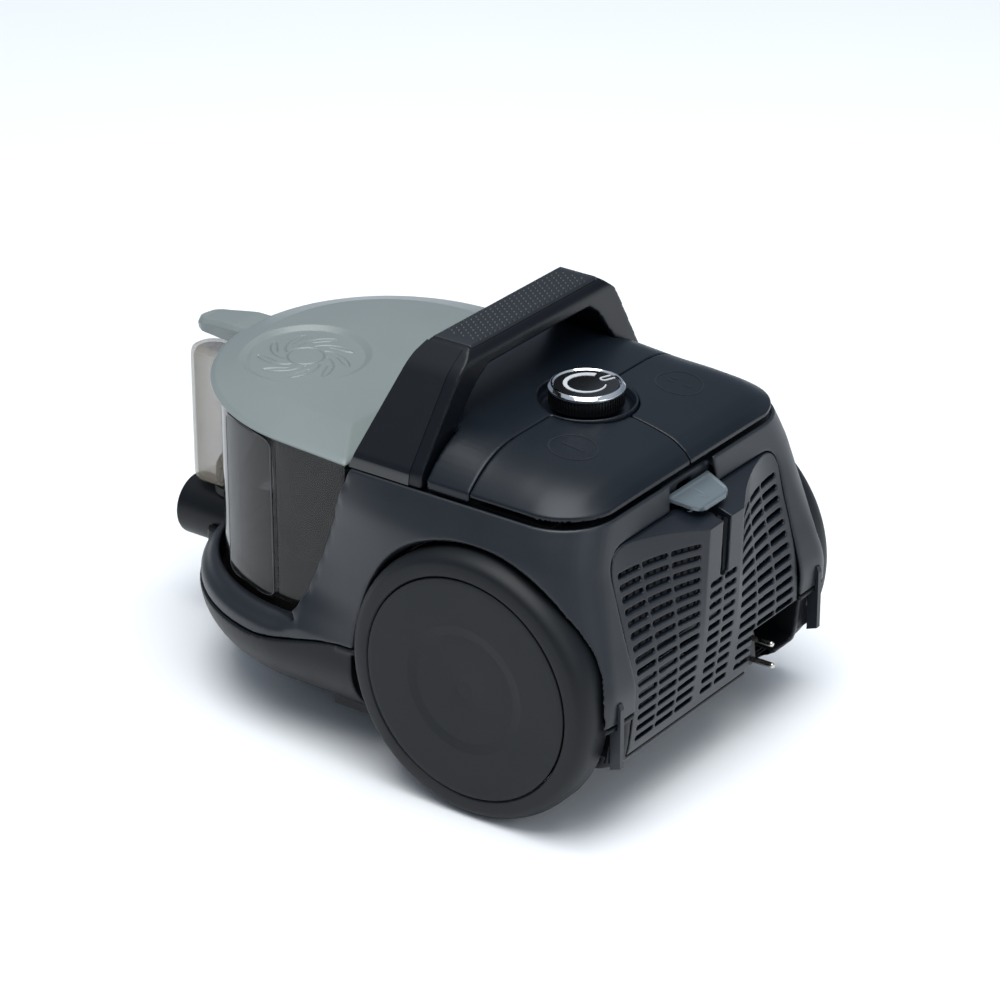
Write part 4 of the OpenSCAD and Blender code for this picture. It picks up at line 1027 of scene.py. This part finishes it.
def make_latch():
    across, along = 60, 34
    rows = []
    for j in range(along + 1):
        v = j / along
        row = []
        for i in range(across + 1):
            u = 2 * i / across - 1
            reach = 23.6 - 2.4 * (1 - math.sqrt(1 - clamp01((abs(u) - 0.72) / 0.28) ** 2))
            y = 191.6 + reach * v
            half = 25 - 6.5 * v - 4.5 * (1 - math.sqrt(1 - clamp01((v - 0.78) / 0.22) ** 2))
            x = half * u
            top = 202.0 - 5.4 * clamp01((y - 191.6) / 24.4) ** 1.2
            edge = min((1 - v) * reach, half * (1 - abs(u)), v * reach - 1.0)
            face = 0.7 * smooth(clamp01((edge - 1.6) / 0.9))
            stem = math.exp(-(x / 0.5) ** 2) if 197 < y < 206 else 0
            head = math.exp(-((abs(x) - (208.6 - y)) / 0.6) ** 2) if 204.5 < y < 208.8 else 0
            row.append((x, y, top - face - 0.35 * max(stem, head)))
        rows.append(row)
    rings = [row + [(x, y, z - 2.3) for x, y, z in reversed(row)] for row in rows]
    tab = loft(rings)
    finish_piece(tab, "latch_tab", "latch", "latch_silver", "grille_latch")
    sharpen(tab, 60)


def make_plug_pins():
    pins = []
    for x, z in ((-64, 50.4), (-62, 67.6)):
        profile = [(0, 205), (2, 205), (2, 221.6)] + [(2 * math.cos(math.radians(a)), 221.6 + 2 * math.sin(math.radians(a)))
                                                     for a in (25, 50, 72)] + [(0, 223.6)]
        pins.append(lathe(profile, "y", x, z, 40))
    join(*pins)
    finish_piece(pins[0], "plug_pin_pair", "chassis", "pin_metal", "plug_pins")


# ---------- carried-over parts ----------
SOFT_EDGE = {"stand_ribs": 0.8, "plug_body": 0.6, "caster_fork": 0.5, "caster_wheel": 0.4, "motor_housing": 0.6}


def dress_frame():
    """Gives every part that is shown from the CAD its own finish and slightly rounded edges."""
    for node, obj in frame["nodes"].items():
        obj.data.materials.clear()
        obj.data.materials.append(FINISH[SLOT_OF[node]])
        if obj.hide_render:
            continue
        obj.data.shade_smooth()
        obj.data.set_sharp_from_angle(angle=math.radians(30))
        bevel = obj.modifiers.new("edges", "BEVEL")
        bevel.width = SOFT_EDGE.get(node, 0.25) * MM
        bevel.segments = 2
        bevel.limit_method = "ANGLE"
        bevel.angle_limit = math.radians(35)
        bevel.harden_normals = True


# ---------- stage ----------
def make_stage():
    floor = make_mesh("floor", [(-6000, -6000, 0), (6000, -6000, 0), (6000, 6000, 0), (-6000, 6000, 0)], [(0, 1, 2, 3)])
    paint = moulded("floor_paint", (0.93, 0.932, 0.935), 0.8, variation=0.01, grain=0.02, patch_mm=400)
    floor.data.materials.append(paint)
    world = bpy.data.worlds.new("studio")
    bpy.context.scene.world = world
    world.use_nodes = True
    tree = world.node_tree
    up = tree.nodes.new("ShaderNodeSeparateXYZ")
    tree.links.new(tree.nodes.new("ShaderNodeTexCoord").outputs["Generated"], up.inputs["Vector"])
    glow = tree.nodes.new("ShaderNodeValToRGB")
    glow.color_ramp.elements[0].position = 0.3
    glow.color_ramp.elements[0].color = (0.2, 0.24, 0.3, 1)
    glow.color_ramp.elements[1].position = 1.0
    glow.color_ramp.elements[1].color = (0.55, 0.6, 0.66, 1)
    tree.links.new(up.outputs["Z"], glow.inputs["Fac"])
    tree.links.new(glow.outputs["Color"], tree.nodes["Background"].inputs["Color"])
    tree.nodes["Background"].inputs["Strength"].default_value = 1.0
    lights = (
        ("overhead", (0.5, 0.35, 2.9), 2.5, 108, (0.96, 0.985, 1.0)),
        ("rear_side", (0.3, 2.8, 1.5), 1.2, 14, (0.9, 0.95, 1.0)),
    )
    for name, place, size, power, colour in lights:
        lamp = bpy.data.lights.new(name, "AREA")
        lamp.size = size
        lamp.energy = power
        lamp.color = colour
        holder = bpy.data.objects.new(name, lamp)
        holder.location = place
        holder.rotation_euler = (Vector((0, 0, 0.1)) - Vector(place)).to_track_quat("-Z", "Y").to_euler()
        bpy.context.scene.collection.objects.link(holder)
    bpy.context.scene.view_settings.view_transform = "Standard"


def make_camera():
    azimuth, elevation = math.radians(125.78), math.radians(26.09)
    back = Vector((math.cos(elevation) * math.sin(azimuth), -math.cos(elevation) * math.cos(azimuth), math.sin(elevation)))
    data = bpy.data.cameras.new("camera")
    data.sensor_width = 36
    data.lens = 144.7
    data.shift_x = -0.0061
    data.shift_y = 0.001
    camera = bpy.data.objects.new("camera", data)
    camera.rotation_euler = (-back).to_track_quat("-Z", "Y").to_euler()
    camera.location = Vector((-19.77, 34.27, 136.88)) * MM + back * 2.716
    bpy.context.scene.collection.objects.link(camera)
    bpy.context.scene.camera = camera


make_stage()
make_camera()
make_upper_body()
make_base()
make_deck()
make_marks()
make_handle()
make_bin()
make_cyclone()
make_lid()
make_inlet()
make_wheels()
make_knob()
make_grille()
make_latch()
make_plug_pins()
dress_frame()
